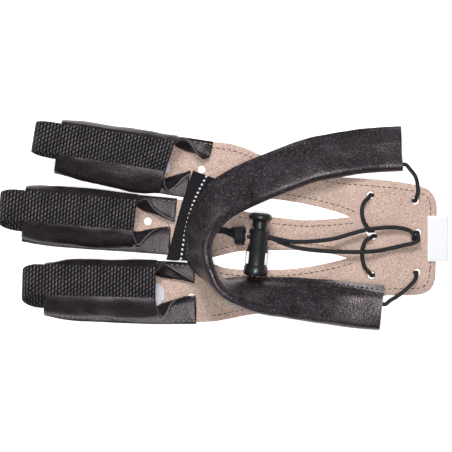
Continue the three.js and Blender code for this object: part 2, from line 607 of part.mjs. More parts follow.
function makeStall(finger) {
  const points = [];
  const slanted = (s, t, fade) => s + finger.slant * t * fade;
  const body = BODY_STATIONS.map((share) => bodySection(finger, share * STALL_LENGTH).map((p) => {
    const s = slanted(share * STALL_LENGTH, p.t, share ** 4);
    return points.push(onFinger(finger, s, p.t, p.z)) - 1;
  }));
  const quads = gridQuads(body.length, body[0].length);
  const wings = [
    { side: 1, rows: finger.wingUp, start: body[body.length - 1].slice(0, SIDE_COLUMNS) },
    { side: -1, rows: finger.wingLow, start: body[body.length - 1].slice(-SIDE_COLUMNS).reverse() },
  ];
  for (const { side, rows, start } of wings) {
    let previous = start;
    for (const row of rows.slice(1)) {
      const next = wingSection(finger, row, side).map((p, i) => {
        const k = row.foot + (row.edge - row.foot) * (i / (SIDE_COLUMNS - 1)) ** 2;
        const s = slanted(STALL_LENGTH + k * WING_LENGTH, p.t, (1 - k) ** 3);
        return points.push(onFinger(finger, s, p.t, p.z)) - 1;
      });
      for (let j = 0; j + 1 < SIDE_COLUMNS; j += 1) {
        const quad = [previous[j], previous[j + 1], next[j + 1], next[j]];
        quads.push(side > 0 ? quad : quad.reverse());
      }
      previous = next;
    }
  }
  return meshOf(`stall_${finger.name}`, thickSheet(points, quads, STALL_WALL), LEATHER);
}

// Height at which webbing sits on a stall at a place on the finger; past the shoulder it stays level
function webbingSeat(finger, s, t) {
  const section = bodySection(finger, THREE.MathUtils.clamp(s, 0, STALL_LENGTH));
  const reach = Math.min(t, section[SIDE_COLUMNS - 2].t - GAP);
  const seat = (STALL_WALL + ELASTIC_WALL) / 2 + 1.4 * GAP;
  let best = 0;
  for (let i = 0; i + 1 < section.length; i += 1) {
    const [a, b] = [section[i], section[i + 1]];
    if ((a.t - reach) * (b.t - reach) <= 0 && a.t !== b.t) {
      const slope = (b.z - a.z) / (b.t - a.t);
      best = Math.max(best, a.z + slope * (reach - a.t) + seat * Math.min(1.2, Math.hypot(1, slope)));
    }
  }
  return best;
}

// Webbing: over the stall, round the tip and back on the panel inside it
function makeElastic(finger) {
  const middle = finger.elastic * STALL_WIDTH / 2;
  const across = [-0.5, -0.25, 0, 0.25, 0.5].map((share) => share * ELASTIC_WIDTH);
  const floor = PANEL_WALL + GAP + ELASTIC_WALL / 2;
  const rows = [];
  for (const share of [...BODY_STATIONS].reverse()) {
    const s = share * STALL_LENGTH;
    rows.push(across.map((w) => {
      const t = middle + w;
      const slanted = s + finger.slant * t * share ** 4 - (share === 1 ? GAP : 0);
      return onFinger(finger, slanted, t, webbingSeat(finger, s, t));
    }));
  }
  const loop = [0.30, 0.62, 0.88, 1, 0.93, 0.72, 0.40, 0];
  loop.forEach((share, i) => {
    const turn = (i + 0.5) / loop.length;
    const fall = (1 - Math.cos(Math.PI * Math.min(1, Math.max(0, (turn - 0.08) / 0.84)))) / 2;
    rows.push(across.map((w) => {
      const t = middle + w;
      const top = webbingSeat(finger, 0, t);
      return onFinger(finger, -finger.reach * share, t + finger.drift * fall, top + (floor - top) * fall);
    }));
  });
  rows.push(across.map((w) => onFinger(finger, ELASTIC_TUCK, middle + w + finger.drift, floor)));
  const sheet = thickSheet(rows.flat(), gridQuads(rows.length, across.length), ELASTIC_WALL);
  return meshOf(`elastic_${finger.name}`, sheet, WEBBING);
}

// Pale pad on the finger strip inside a stall, with a round end at the mouth
function makeLiner(row) {
  const finger = FINGERS[row.finger];
  const middle = row.shift * STALL_WIDTH / 2;
  const level = PANEL_WALL + GAP + LINER_WALL / 2;
  const points = [];
  const stations = [0, 0.5, 0.8, 0.92, 1];
  for (const share of stations) {
    const half = (row.width / 2) * Math.sqrt(Math.max(0.12, 1 - Math.max(0, (share - 0.75) / 0.25) ** 2));
    for (const w of [-1, -0.5, 0, 0.5, 1]) {
      const s = STALL_LENGTH + row.past - LINER_LENGTH * (1 - share);
      points.push(onFinger(finger, s, middle + w * half, level));
    }
  }
  const sheet = thickSheet(points, gridQuads(stations.length, 5), LINER_WALL);
  return meshOf(`liner_${finger.name}`, sheet, FELT);
}

// Wrist sleeve
const foldRadius = SLEEVE_DEPTH / 2;
const sleeveSpan = SLEEVE_WIDTH - foldRadius;

function sleeveFrames() {
  const rises = SLEEVE_ROWS.map((row) => {
    const roll = THREE.MathUtils.degToRad(row.roll);
    const seam = SEAM_DEPTH / 2 + row.rest * (PANEL_WALL + GAP);
    return new THREE.Vector3(row.x * GLOVE_LENGTH, row.y * GLOVE_WIDTH, seam + sleeveSpan * Math.sin(roll) / 2);
  });
  const path = new THREE.CatmullRomCurve3(rises, false, 'centripetal');
  return SLEEVE_ROWS.map((row, i) => {
    const heading = path.getTangent(i / (rises.length - 1)).setZ(0).normalize();
    const inward = new THREE.Vector3(-heading.y, heading.x, 0);
    const roll = THREE.MathUtils.degToRad(row.roll);
    const up = new THREE.Vector3(0, 0, 1);
    const across = inward.clone().multiplyScalar(Math.cos(roll)).addScaledVector(up, Math.sin(roll));
    const out = inward.clone().multiplyScalar(-Math.sin(roll)).addScaledVector(up, Math.cos(roll));
    return { middle: rises[i], heading, across, out, lane: row.lane };
  });
}

function inSleeve(frame, w, n) {
  return frame.middle.clone()
    .addScaledVector(frame.across, w - sleeveSpan / 2)
    .addScaledVector(frame.out, n);
}

function sleeveRing(frame, inset) {
  const start = inset ? SEAM_MARGIN : 0;
  const stations = SLEEVE_SECTION.filter((row) => row.w > start);
  const first = { w: start, depth: column(SLEEVE_SECTION, 'w', 'depth', start) };
  const side = [first, ...stations].map((row) => ({
    w: row.w * sleeveSpan,
    n: Math.max(0.3, row.depth * SLEEVE_DEPTH / 2 - inset),
  }));
  const fold = FOLD_ANGLES.map((angle) => {
    const turn = THREE.MathUtils.degToRad(angle);
    return { w: sleeveSpan + (foldRadius - inset) * Math.cos(turn), n: (foldRadius - inset) * Math.sin(turn) };
  });
  const back = [...side].reverse().map((p) => ({ w: p.w, n: -p.n }));
  return [...side, ...fold, ...back].map((p) => inSleeve(frame, p.w, p.n));
}

function makeSleeve(frames) {
  const past = (frame, length) => ({ ...frame, middle: frame.middle.clone().addScaledVector(frame.heading, length) });
  const hollow = [past(frames[0], -3), ...frames, past(frames[frames.length - 1], 3)];
  const skin = toSolid(loft(frames.map((frame) => sleeveRing(frame, 0))));
  const inside = toSolid(loft(hollow.map((frame) => sleeveRing(frame, SLEEVE_WALL))));
  return meshOf('wrist_strap', toGeometry(skin.subtract(inside)), LEATHER);
}

// Tape and label
function makeTape() {
  const curve = new THREE.SplineCurve(TAPE_ROWS.map(spot));
  const count = 11;
  const points = [];
  for (let i = 0; i < count; i += 1) {
    const k = i / (count - 1);
    const edge = curve.getPoint(k);
    const heading = curve.getTangent(k);
    const layers = (key) => column(TAPE_ROWS.map((row, n) => ({ n, rest: row[key] })), 'n', 'rest',
      k * (TAPE_ROWS.length - 1));
    for (const w of [0, 0.5, 1]) {
      const reach = w * TAPE_WIDTH;
      const y = Math.max(edge.y + heading.x * reach, TAPE_END * GLOVE_WIDTH);
      const level = THREE.MathUtils.lerp(layers('rest'), layers('tucked'), w) * (PANEL_WALL + GAP);
      points.push(new THREE.Vector3(edge.x - heading.y * reach, y, level + TAPE_WALL / 2));
    }
  }
  return meshOf('keeper_tape', thickSheet(points, gridQuads(count, 3), TAPE_WALL), TAPE);
}

function makeLabel() {
  const fold = LABEL_WALL * 1.2;
  const top = LABEL_ROWS.map((row) => ({ ...row, drop: 0 }));
  const end = LABEL_ROWS[LABEL_ROWS.length - 1];
  const turn = { ...end, x: end.x + fold / GLOVE_LENGTH, drop: fold };
  const under = [{ ...end, drop: 2 * fold }, { ...LABEL_ROWS[2], x: 0.4765, drop: 2 * fold }];
  const points = [...top, turn, ...under].flatMap((row) => [0, 0.5, 1].map((k) => {
    const x = row.x * GLOVE_LENGTH;
    const y = (row.y + (row.end - row.y) * k) * GLOVE_WIDTH;
    return new THREE.Vector3(x, y, lift(x, y) + PANEL_WALL + 1.4 * GAP + LABEL_WALL / 2 - row.drop);
  }));
  return meshOf('size_label', thickSheet(points, gridQuads(points.length / 3, 3), LABEL_WALL), LABEL);
}

// Drawcord
function holePoints(entry, from, to) {
  const place = spot(LACING[entry.hole][entry.pass]);
  const base = lift(place.x, place.y);
  const levels = [base + PANEL_WALL + CORD_LIE, base + PANEL_WALL, base, base - CORD_LIE];
  const down = from.z > to.z;
  const heights = down ? levels : [...levels].reverse();
  const step = (other, reach) => {
    const away = new THREE.Vector2(other.x - place.x, other.y - place.y).setLength(reach);
    return [place.x + away.x, place.y + away.y];
  };
  const flat = [step(from, PASS_REACH), step(from, PASS_LEAN), step(to, PASS_LEAN), step(to, PASS_REACH)];
  return flat.map(([x, y], i) => new THREE.Vector3(x, y, Math.max(heights[i], CORD_DIAMETER / 2 + 0.1)));
}

function cordPoints(frames) {
  const entries = CORD_ROUTE.flatMap((entry) => {
    if (entry !== 'sleeve') return [entry];
    const ends = [frames[frames.length - 1], frames[0]];
    const outside = [1.5, -1.5].map((reach, i) => ends[i].middle.clone().addScaledVector(ends[i].heading, reach));
    const lane = [...frames].reverse().filter((frame, i) => i % 2 === 0);
    return [
      { middle: outside[0], across: ends[0].across, out: ends[0].out, lane: ends[0].lane },
      ...lane,
      { middle: outside[1], across: ends[1].across, out: ends[1].out, lane: ends[1].lane },
    ].map((frame) => inSleeve(frame, frame.lane * sleeveSpan, 0).toArray());
  });
  const place = (entry) => {
    if (Array.isArray(entry)) return new THREE.Vector3(...entry);
    const hole = spot(LACING[entry.hole][entry.pass]);
    return new THREE.Vector3(hole.x, hole.y, 3);
  };
  return entries.flatMap((entry, i) => (
    Array.isArray(entry) ? [place(entry)] : holePoints(entry, place(entries[i - 1]), place(entries[i + 1]))
  ));
}

// Curve through the chosen points that is cut at steps of about one length
class Route extends THREE.CatmullRomCurve3 {
  constructor(points, step) {
    super(points, false, 'centripetal');
    this.stops = [0];
    for (let i = 1; i < points.length; i += 1) {
      const pieces = Math.max(1, Math.round(points[i].distanceTo(points[i - 1]) / step));
      for (let k = 1; k <= pieces; k += 1) this.stops.push((i - 1 + k / pieces) / (points.length - 1));
    }
  }

  getUtoTmapping(u) {
    return this.stops[Math.round(u * (this.stops.length - 1))];
  }
}

function tube(points, diameter, step) {
  const route = new Route(points, step);
  const section = new THREE.Shape();
  section.absarc(0, 0, diameter / 2, 0, 2 * Math.PI);
  return new THREE.ExtrudeGeometry(section, {
    steps: route.stops.length - 1, curveSegments: 4, extrudePath: route, bevelEnabled: false,
  });
}

function makeCord(frames) {
  const points = cordPoints(frames);
  return meshOf('drawcord', closed(tube(points, CORD_DIAMETER, CORD_STEP)), CORD);
}

// The lock stands off the sleeve on the inside of its bend
function lockPlace() {
  const row = spot(SLEEVE_ROWS[LOCK_ROW]);
  const foot = LOCK_SEAT - LOCK_FOOT * Math.cos(THREE.MathUtils.degToRad(LOCK_TURN));
  return new THREE.Vector2(row.x + LOCK_SHIFT, row.y + foot);
}

function makeKnot() {
  const profile = [
    [0, -6.0], [1.6, -5.8], [2.4, -4.6], [3.5, -3.6], [3.3, -2.9], [4.4, -2.2],
    [KNOT_RADIUS, -1.2], [4.2, -0.2], [3.6, 0], [0, 0],
  ].map(([r, a]) => new THREE.Vector2(r, a));
  const body = new THREE.LatheGeometry(profile, 14);
  body.rotateZ(-Math.PI / 2);
  const level = PANEL_WALL + GAP + KNOT_RADIUS;
  const lock = lockPlace();
  const faceX = lock.x - LOCK_NECK_RADIUS - KNOT_GAP;
  const middleY = lock.y + KNOT_RISE;
  body.translate(faceX, middleY, level);
  const tails = [[0.5, 1], [-1.7, -1]].map(([shift, side]) => {
    const points = [
      new THREE.Vector3(faceX - 4.2, middleY + shift + side * 0.2, level - 0.8),
      new THREE.Vector3(faceX - 7.2, middleY + 1.4 + shift, level - 2.2),
      new THREE.Vector3(faceX - 11.2, middleY + 2.6 + shift, level - 3.2),
      new THREE.Vector3(faceX - 14.2, middleY + 3.0 + shift, level - 3.4),
    ];
    return toSolid(tube(points, CORD_DIAMETER, CORD_STEP));
  });
  return meshOf('cord_knot', toGeometry(tails.reduce((sum, tail) => sum.add(tail), toSolid(body))), CORD);
}

// Cord lock
function turned(profile) {
  return toSolid(new THREE.LatheGeometry(profile.map(([r, a]) => new THREE.Vector2(r, a)), LOCK_SIDES));
}

function block(width, from, to, depth, x = 0) {
  const box = new THREE.BoxGeometry(width, to - from, depth);
  box.translate(x, (from + to) / 2, 0);
  return toSolid(box);
}

function makeLock() {
  const stem = LOCK_BORE_RADIUS - LOCK_CLEARANCE;
  const tailBore = TAIL_RADIUS;
  const barrel = turned([
    [0, LOCK_FOOT], [LOCK_RADIUS - 0.8, LOCK_FOOT], [LOCK_RADIUS, LOCK_FOOT + 0.8],
    [LOCK_RADIUS, LOCK_COLLAR], [LOCK_RADIUS - 0.3, LOCK_COLLAR + 0.3], [LOCK_RADIUS - 0.3, LOCK_STEP - 0.6],
    [LOCK_NECK_RADIUS, LOCK_STEP], [LOCK_NECK_RADIUS, LOCK_TOP - 0.4], [LOCK_NECK_RADIUS - 0.4, LOCK_TOP],
    [LOCK_BORE_RADIUS, LOCK_TOP], [LOCK_BORE_RADIUS, LOCK_STEP], [tailBore, LOCK_STEP],
    [tailBore, LOCK_BORE_FOOT], [0, LOCK_BORE_FOOT],
  ]);
  const slots = [-1, 1].map((side) => block(1.1, LOCK_COLLAR + 0.9, LOCK_STEP - 1.2, 16, side * 4.45));
  const eye = block(16, -EYE_LENGTH / 2, EYE_LENGTH / 2, EYE_DEPTH);
  const body = slots.reduce((left, slot) => left.subtract(slot), barrel.subtract(eye));
  const stepUp = LOCK_STEP + LOCK_TRAVEL + LOCK_CLEARANCE;
  const tailFoot = LOCK_BORE_FOOT + LOCK_TRAVEL + LOCK_CLEARANCE;
  const plunger = turned([
    [0, tailFoot], [tailBore - LOCK_CLEARANCE, tailFoot], [tailBore - LOCK_CLEARANCE, stepUp], [stem, stepUp],
    [stem, BUTTON_FLANGE], [BUTTON_RADIUS - 0.5, BUTTON_FLANGE + 0.2], [BUTTON_RADIUS, BUTTON_FLANGE + 0.9],
    [BUTTON_RADIUS, BUTTON_TOP - 1.6], [BUTTON_RADIUS - 0.8, BUTTON_TOP - 0.4],
    [BUTTON_RADIUS - 1.8, BUTTON_TOP], [0, BUTTON_TOP],
  ]);
  const offset = LOCK_TRAVEL;
  const window = block(16, offset - EYE_LENGTH / 2, offset + EYE_LENGTH / 2, EYE_DEPTH);
  const lock = new THREE.Group();
  lock.add(meshOf('lock_barrel', toGeometry(body), PLASTIC));
  lock.add(meshOf('lock_button', toGeometry(plunger.subtract(window)), PLASTIC));
  const place = lockPlace();
  lock.position.set(place.x, place.y, PANEL_WALL + GAP + LOCK_RADIUS);
  lock.rotation.z = THREE.MathUtils.degToRad(LOCK_TURN);
  return lock;
}

// Whole glove
const glove = new THREE.Group();
const frames = sleeveFrames();
glove.add(meshOf('palm_panel', makePanel(), SUEDE));
glove.add(...FINGERS.map(makeStall));
glove.add(...FINGERS.map(makeElastic));
glove.add(...LINERS.map(makeLiner));
glove.add(makeSleeve(frames));
glove.add(makeTape());
glove.add(makeLabel());
glove.add(makeCord(frames));
glove.add(makeKnot());
glove.add(makeLock());

export default glove;
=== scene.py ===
"""Looks for an archery glove that lies on its palm side with the finger stalls toward -X.

Sizes are in millimetres and are turned to metres where a mesh is made. Tables give places as
shares of the glove's length and width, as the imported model's own source does.
"""
from __future__ import annotations

import logging
import math
from dataclasses import dataclass
from enum import Enum
from typing import Any, Iterable, NamedTuple, Sequence

import bmesh
import bpy
import numpy as np
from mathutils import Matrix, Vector, geometry, noise

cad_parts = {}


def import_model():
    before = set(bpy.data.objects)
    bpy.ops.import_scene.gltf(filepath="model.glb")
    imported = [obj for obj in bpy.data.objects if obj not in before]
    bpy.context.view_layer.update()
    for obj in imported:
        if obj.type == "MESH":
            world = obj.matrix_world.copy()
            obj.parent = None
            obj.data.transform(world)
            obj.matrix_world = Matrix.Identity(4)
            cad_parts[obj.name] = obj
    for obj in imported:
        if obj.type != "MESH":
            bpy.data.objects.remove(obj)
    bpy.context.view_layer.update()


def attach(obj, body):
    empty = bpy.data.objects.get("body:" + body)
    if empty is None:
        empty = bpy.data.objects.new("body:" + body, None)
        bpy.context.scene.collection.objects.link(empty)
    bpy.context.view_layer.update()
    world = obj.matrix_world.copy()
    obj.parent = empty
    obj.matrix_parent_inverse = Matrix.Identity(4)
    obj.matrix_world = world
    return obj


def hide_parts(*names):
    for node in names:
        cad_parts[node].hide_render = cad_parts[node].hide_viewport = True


log = logging.getLogger("glove")

MM = 0.001
PIXELS = 452
GLOVE_LENGTH = 216.0
GLOVE_WIDTH = 101.0
GAP = 0.3
PANEL_WALL = 2.0
PLATE_LIFT = 2.4
STRIP_INSET = 0.5
LACE_HOLE = 3.6
BASE_HOLE = 3.6
STALL_LENGTH = 53.4
STALL_WIDTH = 28.0
STALL_HEIGHT = 10.5
STALL_WALL = 1.2
WING_LENGTH = 20.0
ELASTIC_WIDTH = 14.6
ELASTIC_WALL = 1.4
ELASTIC_TUCK = 8.0
LINER_WALL = 0.6
LINER_LENGTH = 26.0
SLEEVE_WIDTH = 21.5
SLEEVE_DEPTH = 6.0
SLEEVE_WALL = 1.25
SEAM_DEPTH = 2.5
TAPE_WIDTH = 12.5
TAPE_WALL = 0.7
LABEL_WALL = 0.5
CORD_DIAMETER = 2.0


class Place(NamedTuple):
    """A place as shares of the glove's length and width."""

    x: float
    y: float


class LiftRow(NamedTuple):
    """How far the panel is lifted at a share of its length or width."""

    at: float
    lift: float


class BodyRow(NamedTuple):
    """One section of a stall; s is a share of the stall's length, the rest shares of half its width."""

    s: float
    half: float
    rise: float
    root_low: float
    belly_low: float
    root_up: float


class WingRow(NamedTuple):
    """One section of a stall's open wing; foot and edge are shares of the wing's length."""

    foot: float
    edge: float
    root: float
    t: float
    z: float


class SleeveRow(NamedTuple):
    """One section of the wrist sleeve: where, layers under its seam, roll in degrees, cord's lane."""

    x: float
    y: float
    rest: float
    roll: float
    lane: float


class TapeRow(NamedTuple):
    """Left edge of the tape, and the layers under its left and right edges."""

    x: float
    y: float
    rest: float
    tucked: float


class DepthRow(NamedTuple):
    """Half depth of the sleeve as a share, at a share of its width from the seam edge."""

    w: float
    depth: float


class LoopRow(NamedTuple):
    """How far the webbing reaches past the tip, at a share of its turn round the tip."""

    turn: float
    reach: float


@dataclass(frozen=True)
class Finger:
    """One finger's place, turn and tables."""

    name: str
    x: float
    y: float
    angle: float
    slant: float
    elastic: float
    reach: float
    drift: float
    body: tuple[BodyRow, ...]
    wing_up: tuple[WingRow, ...]
    wing_low: tuple[WingRow, ...]


UPPER_EDGE = (
    Place(-0.028, 0.400), Place(0.010, 0.391), Place(0.049, 0.366), Place(0.077, 0.339), Place(0.143, 0.288),
    Place(0.210, 0.250), Place(0.260, 0.230), Place(0.321, 0.220), Place(0.386, 0.206), Place(0.430, 0.189),
    Place(0.453, 0.168), Place(0.466, 0.130), Place(0.470, 0.086),
)
LOWER_EDGE = (
    Place(0.467, -0.215), Place(0.465, -0.262), Place(0.455, -0.302), Place(0.436, -0.324),
    Place(0.405, -0.329), Place(0.352, -0.332), Place(0.254, -0.358), Place(0.166, -0.386),
    Place(0.086, -0.415), Place(0.046, -0.427), Place(0.012, -0.442), Place(-0.023, -0.456),
)
LOWER_SLOT_NEAR = (
    Place(-0.070, -0.174), Place(-0.030, -0.180), Place(-0.006, -0.198), Place(0.039, -0.209),
    Place(0.092, -0.211), Place(0.148, -0.205), Place(0.199, -0.191), Place(0.250, -0.168),
    Place(0.272, -0.154),
)
LOWER_SLOT_FAR = (
    Place(0.272, -0.154), Place(0.232, -0.132), Place(0.181, -0.117), Place(0.114, -0.117),
    Place(0.039, -0.120), Place(-0.006, -0.139), Place(-0.030, -0.150), Place(-0.070, -0.152),
)
UPPER_SLOT_NEAR = (
    Place(-0.050, 0.112), Place(-0.030, 0.103), Place(0.041, 0.068), Place(0.106, 0.042), Place(0.148, 0.032),
    Place(0.181, 0.027), Place(0.232, 0.032), Place(0.279, 0.041),
)
UPPER_SLOT_FAR = (
    Place(0.279, 0.041), Place(0.250, 0.065), Place(0.199, 0.094), Place(0.148, 0.115), Place(0.103, 0.127),
    Place(0.032, 0.132), Place(-0.030, 0.134), Place(-0.050, 0.135),
)
BASE_HOLES = (Place(-0.053, 0.268), Place(-0.173, 0.021), Place(-0.076, -0.341))
LACING: dict[str, tuple[Place, ...]] = {
    "top_left": (Place(0.3227, 0.1465),),
    "top_right": (Place(0.4222, 0.1178),),
    "bottom_left": (Place(0.3245, -0.2366),),
    "bottom_right": (Place(0.4255, -0.2228),),
    "middle_left": (Place(0.3194, -0.0248), Place(0.3287, -0.0485)),
    "middle_right": (Place(0.4273, -0.0327), Place(0.4218, -0.0634)),
}
LIFT_ALONG = (
    LiftRow(0.214, 0), LiftRow(0.235, 0.12), LiftRow(0.259, 0.5), LiftRow(0.282, 0.88), LiftRow(0.303, 1),
    LiftRow(0.435, 1), LiftRow(0.452, 0.85), LiftRow(0.480, 0.5),
)
LIFT_ACROSS = (
    LiftRow(-0.345, 0.15), LiftRow(-0.305, 0.6), LiftRow(-0.268, 0.97), LiftRow(-0.230, 1),
    LiftRow(0.150, 1), LiftRow(0.180, 0.92), LiftRow(0.215, 0.55), LiftRow(0.260, 0.15),
)
FINGERS = (
    Finger(
        "upper", -0.372, 0.374, -9.1, 0.147, 0.28, 11.6, -2.6,
        body=(
            BodyRow(0.00, 0.91, 0.80, 0.78, 0.87, 0.80), BodyRow(0.20, 0.97, 0.92, 0.82, 0.93, 0.84),
            BodyRow(0.50, 1.00, 1.00, 0.84, 0.99, 0.84), BodyRow(0.86, 1.02, 1.00, 0.84, 1.00, 0.84),
            BodyRow(1.00, 1.02, 1.00, 0.52, 0.97, 0.72), BodyRow(1.37, 1.03, 1.00, 0.52, 0.97, 0.72),
        ),
        wing_up=(
            WingRow(0.000, 0.000, 0.72, 0.70, 0.93), WingRow(0.100, 0.100, 0.68, 0.84, 0.78),
            WingRow(0.270, 0.270, 0.62, 0.94, 0.60), WingRow(0.430, 0.430, 0.58, 0.86, 0.50),
            WingRow(0.660, 0.640, 0.55, 0.55, 0.34), WingRow(0.985, 0.805, 0.50, 0.36, 0.16),
        ),
        wing_low=(
            WingRow(0.000, 0.000, 0.52, 0.41, 0.93), WingRow(0.062, 0.062, 0.50, 0.68, 0.80),
            WingRow(0.157, 0.157, 0.43, 0.88, 0.58), WingRow(0.223, 0.223, 0.37, 0.81, 0.50),
            WingRow(0.300, 0.300, 0.31, 0.64, 0.42), WingRow(0.420, 0.420, 0.22, 0.39, 0.30),
            WingRow(0.560, 0.570, 0.10, 0.19, 0.12),
        ),
    ),
    Finger(
        "middle", -0.448, 0.057, -5.0, 0.02, 0.28, 11.2, -5.2,
        body=(
            BodyRow(0.00, 0.95, 0.80, 0.72, 0.80, 0.80), BodyRow(0.20, 1.02, 0.92, 0.72, 0.82, 0.84),
            BodyRow(0.50, 1.03, 1.00, 0.72, 0.84, 0.84), BodyRow(0.86, 1.00, 1.00, 0.70, 0.84, 0.84),
            BodyRow(1.00, 0.99, 1.00, 0.32, 0.80, 0.60), BodyRow(1.37, 0.98, 1.00, 0.32, 0.80, 0.60),
        ),
        wing_up=(
            WingRow(0.000, 0.000, 0.60, 0.67, 0.94), WingRow(0.070, 0.070, 0.56, 0.78, 0.82),
            WingRow(0.180, 0.180, 0.50, 0.87, 0.64), WingRow(0.280, 0.280, 0.46, 0.83, 0.54),
            WingRow(0.385, 0.385, 0.43, 0.64, 0.44), WingRow(0.540, 0.540, 0.38, 0.48, 0.30),
            WingRow(0.720, 0.720, 0.28, 0.33, 0.20), WingRow(0.960, 0.910, 0.20, 0.25, 0.10),
        ),
        wing_low=(
            WingRow(0.000, 0.000, 0.32, 0.31, 0.95), WingRow(0.040, 0.040, 0.31, 0.50, 0.85),
            WingRow(0.125, 0.125, 0.30, 0.72, 0.62), WingRow(0.210, 0.210, 0.27, 0.61, 0.52),
            WingRow(0.295, 0.295, 0.23, 0.44, 0.42), WingRow(0.450, 0.405, 0.17, 0.27, 0.30),
            WingRow(0.650, 0.540, 0.09, 0.14, 0.18), WingRow(0.890, 0.680, 0.04, 0.08, 0.08),
        ),
    ),
    Finger(
        "lower", -0.402, -0.303, -1.6, 0.0, 0.35, 10.0, -6.6,
        body=(
            BodyRow(0.00, 0.89, 0.80, 0.80, 0.86, 0.80), BodyRow(0.20, 1.03, 0.92, 0.72, 0.80, 0.84),
            BodyRow(0.50, 1.07, 1.00, 0.70, 0.79, 0.84), BodyRow(0.86, 1.09, 1.00, 0.70, 0.80, 0.84),
            BodyRow(1.00, 1.09, 1.00, 0.58, 0.79, 0.60), BodyRow(1.40, 1.04, 1.00, 0.58, 0.79, 0.60),
        ),
        wing_up=(
            WingRow(0.000, 0.030, 0.60, 0.70, 0.94), WingRow(0.075, 0.075, 0.56, 0.88, 0.78),
            WingRow(0.160, 0.160, 0.54, 1.00, 0.56), WingRow(0.265, 0.265, 0.52, 0.96, 0.34),
            WingRow(0.460, 0.460, 0.50, 0.79, 0.24), WingRow(0.680, 0.680, 0.45, 0.61, 0.20),
            WingRow(0.920, 0.900, 0.36, 0.44, 0.14),
        ),
        wing_low=(
            WingRow(0.000, 0.010, 0.58, 0.25, 0.94), WingRow(0.030, 0.030, 0.56, 0.46, 0.84),
            WingRow(0.080, 0.080, 0.50, 0.66, 0.72), WingRow(0.180, 0.180, 0.43, 0.82, 0.58),
            WingRow(0.285, 0.285, 0.36, 0.67, 0.48), WingRow(0.370, 0.350, 0.31, 0.45, 0.40),
            WingRow(0.520, 0.455, 0.24, 0.26, 0.28), WingRow(0.740, 0.600, 0.15, 0.16, 0.18),
            WingRow(0.990, 0.720, 0.10, 0.135, 0.10),
        ),
    ),
)
UPPER_BELLY = (0.985, 0.42)
LOWER_BELLY_RISE = 0.42
UPPER_SHOULDER = (0.84, 0.87)
LOWER_SHOULDER = (0.26, 0.95)
CREST = (0.30, 1.0)
WING_BELLY = 0.24
LOOP = (
    LoopRow(0.0, 0.0), LoopRow(0.0625, 0.30), LoopRow(0.1875, 0.62), LoopRow(0.3125, 0.88),
    LoopRow(0.4375, 1.0), LoopRow(0.5625, 0.93), LoopRow(0.6875, 0.72), LoopRow(0.8125, 0.40),
    LoopRow(0.9375, 0.0),
)
SLEEVE_ROWS = (
    SleeveRow(0.392, 0.380, 0.42, 5.5, 0.99), SleeveRow(0.339, 0.376, 0.25, 7.5, 0.98),
    SleeveRow(0.287, 0.365, 0.45, 10, 0.97), SleeveRow(0.239, 0.347, 0.70, 10.5, 0.97),
    SleeveRow(0.192, 0.324, 0.85, 10, 0.97), SleeveRow(0.143, 0.290, 0.95, 10, 0.97),
    SleeveRow(0.095, 0.250, 1.05, 11, 0.97), SleeveRow(0.036, 0.195, 1.35, 16, 0.97),
    SleeveRow(-0.008, 0.136, 1.45, 26, 0.97), SleeveRow(-0.038, 0.067, 1.60, 41, 0.97),
    SleeveRow(-0.057, -0.006, 1.70, 53, 0.97), SleeveRow(-0.065, -0.087, 1.75, 60, 0.97),
    SleeveRow(-0.059, -0.170, 1.70, 65, 0.97), SleeveRow(-0.040, -0.230, 1.45, 76, 0.97),
    SleeveRow(-0.021, -0.265, 1.15, 92, 0.97), SleeveRow(0.001, -0.287, 1.10, 108, 0.97),
    SleeveRow(0.036, -0.303, 1.10, 124, 0.96), SleeveRow(0.083, -0.321, 1.10, 138, 0.95),
    SleeveRow(0.147, -0.331, 1.15, 153, 0.90), SleeveRow(0.199, -0.342, 1.25, 164, 0.82),
    SleeveRow(0.250, -0.353, 1.60, 175, 0.70), SleeveRow(0.299, -0.366, 2.00, 183, 0.58),
    SleeveRow(0.348, -0.378, 2.15, 188, 0.47),
)
SLEEVE_SECTION = (
    DepthRow(0.00, 0.42), DepthRow(0.15, 0.46), DepthRow(0.30, 0.80), DepthRow(0.48, 0.92),
    DepthRow(0.74, 1.00), DepthRow(1.00, 1.00),
)
SEAM_MARGIN = 0.22
TAPE_ROWS = (
    TapeRow(-0.072, 0.262, 1.75, 1.0), TapeRow(-0.092, 0.141, 1.75, 1.0), TapeRow(-0.109, 0.018, 1.55, 1.0),
    TapeRow(-0.121, -0.080, 1.7, 1.1), TapeRow(-0.132, -0.163, 1.75, 1.75),
)
TAPE_END = -0.163
LABEL_TOP = (Place(0.449, 0.048), Place(0.462, 0.048), Place(0.478, 0.047), Place(0.492, 0.047))
LABEL_START = 0.048
LABEL_END = -0.170
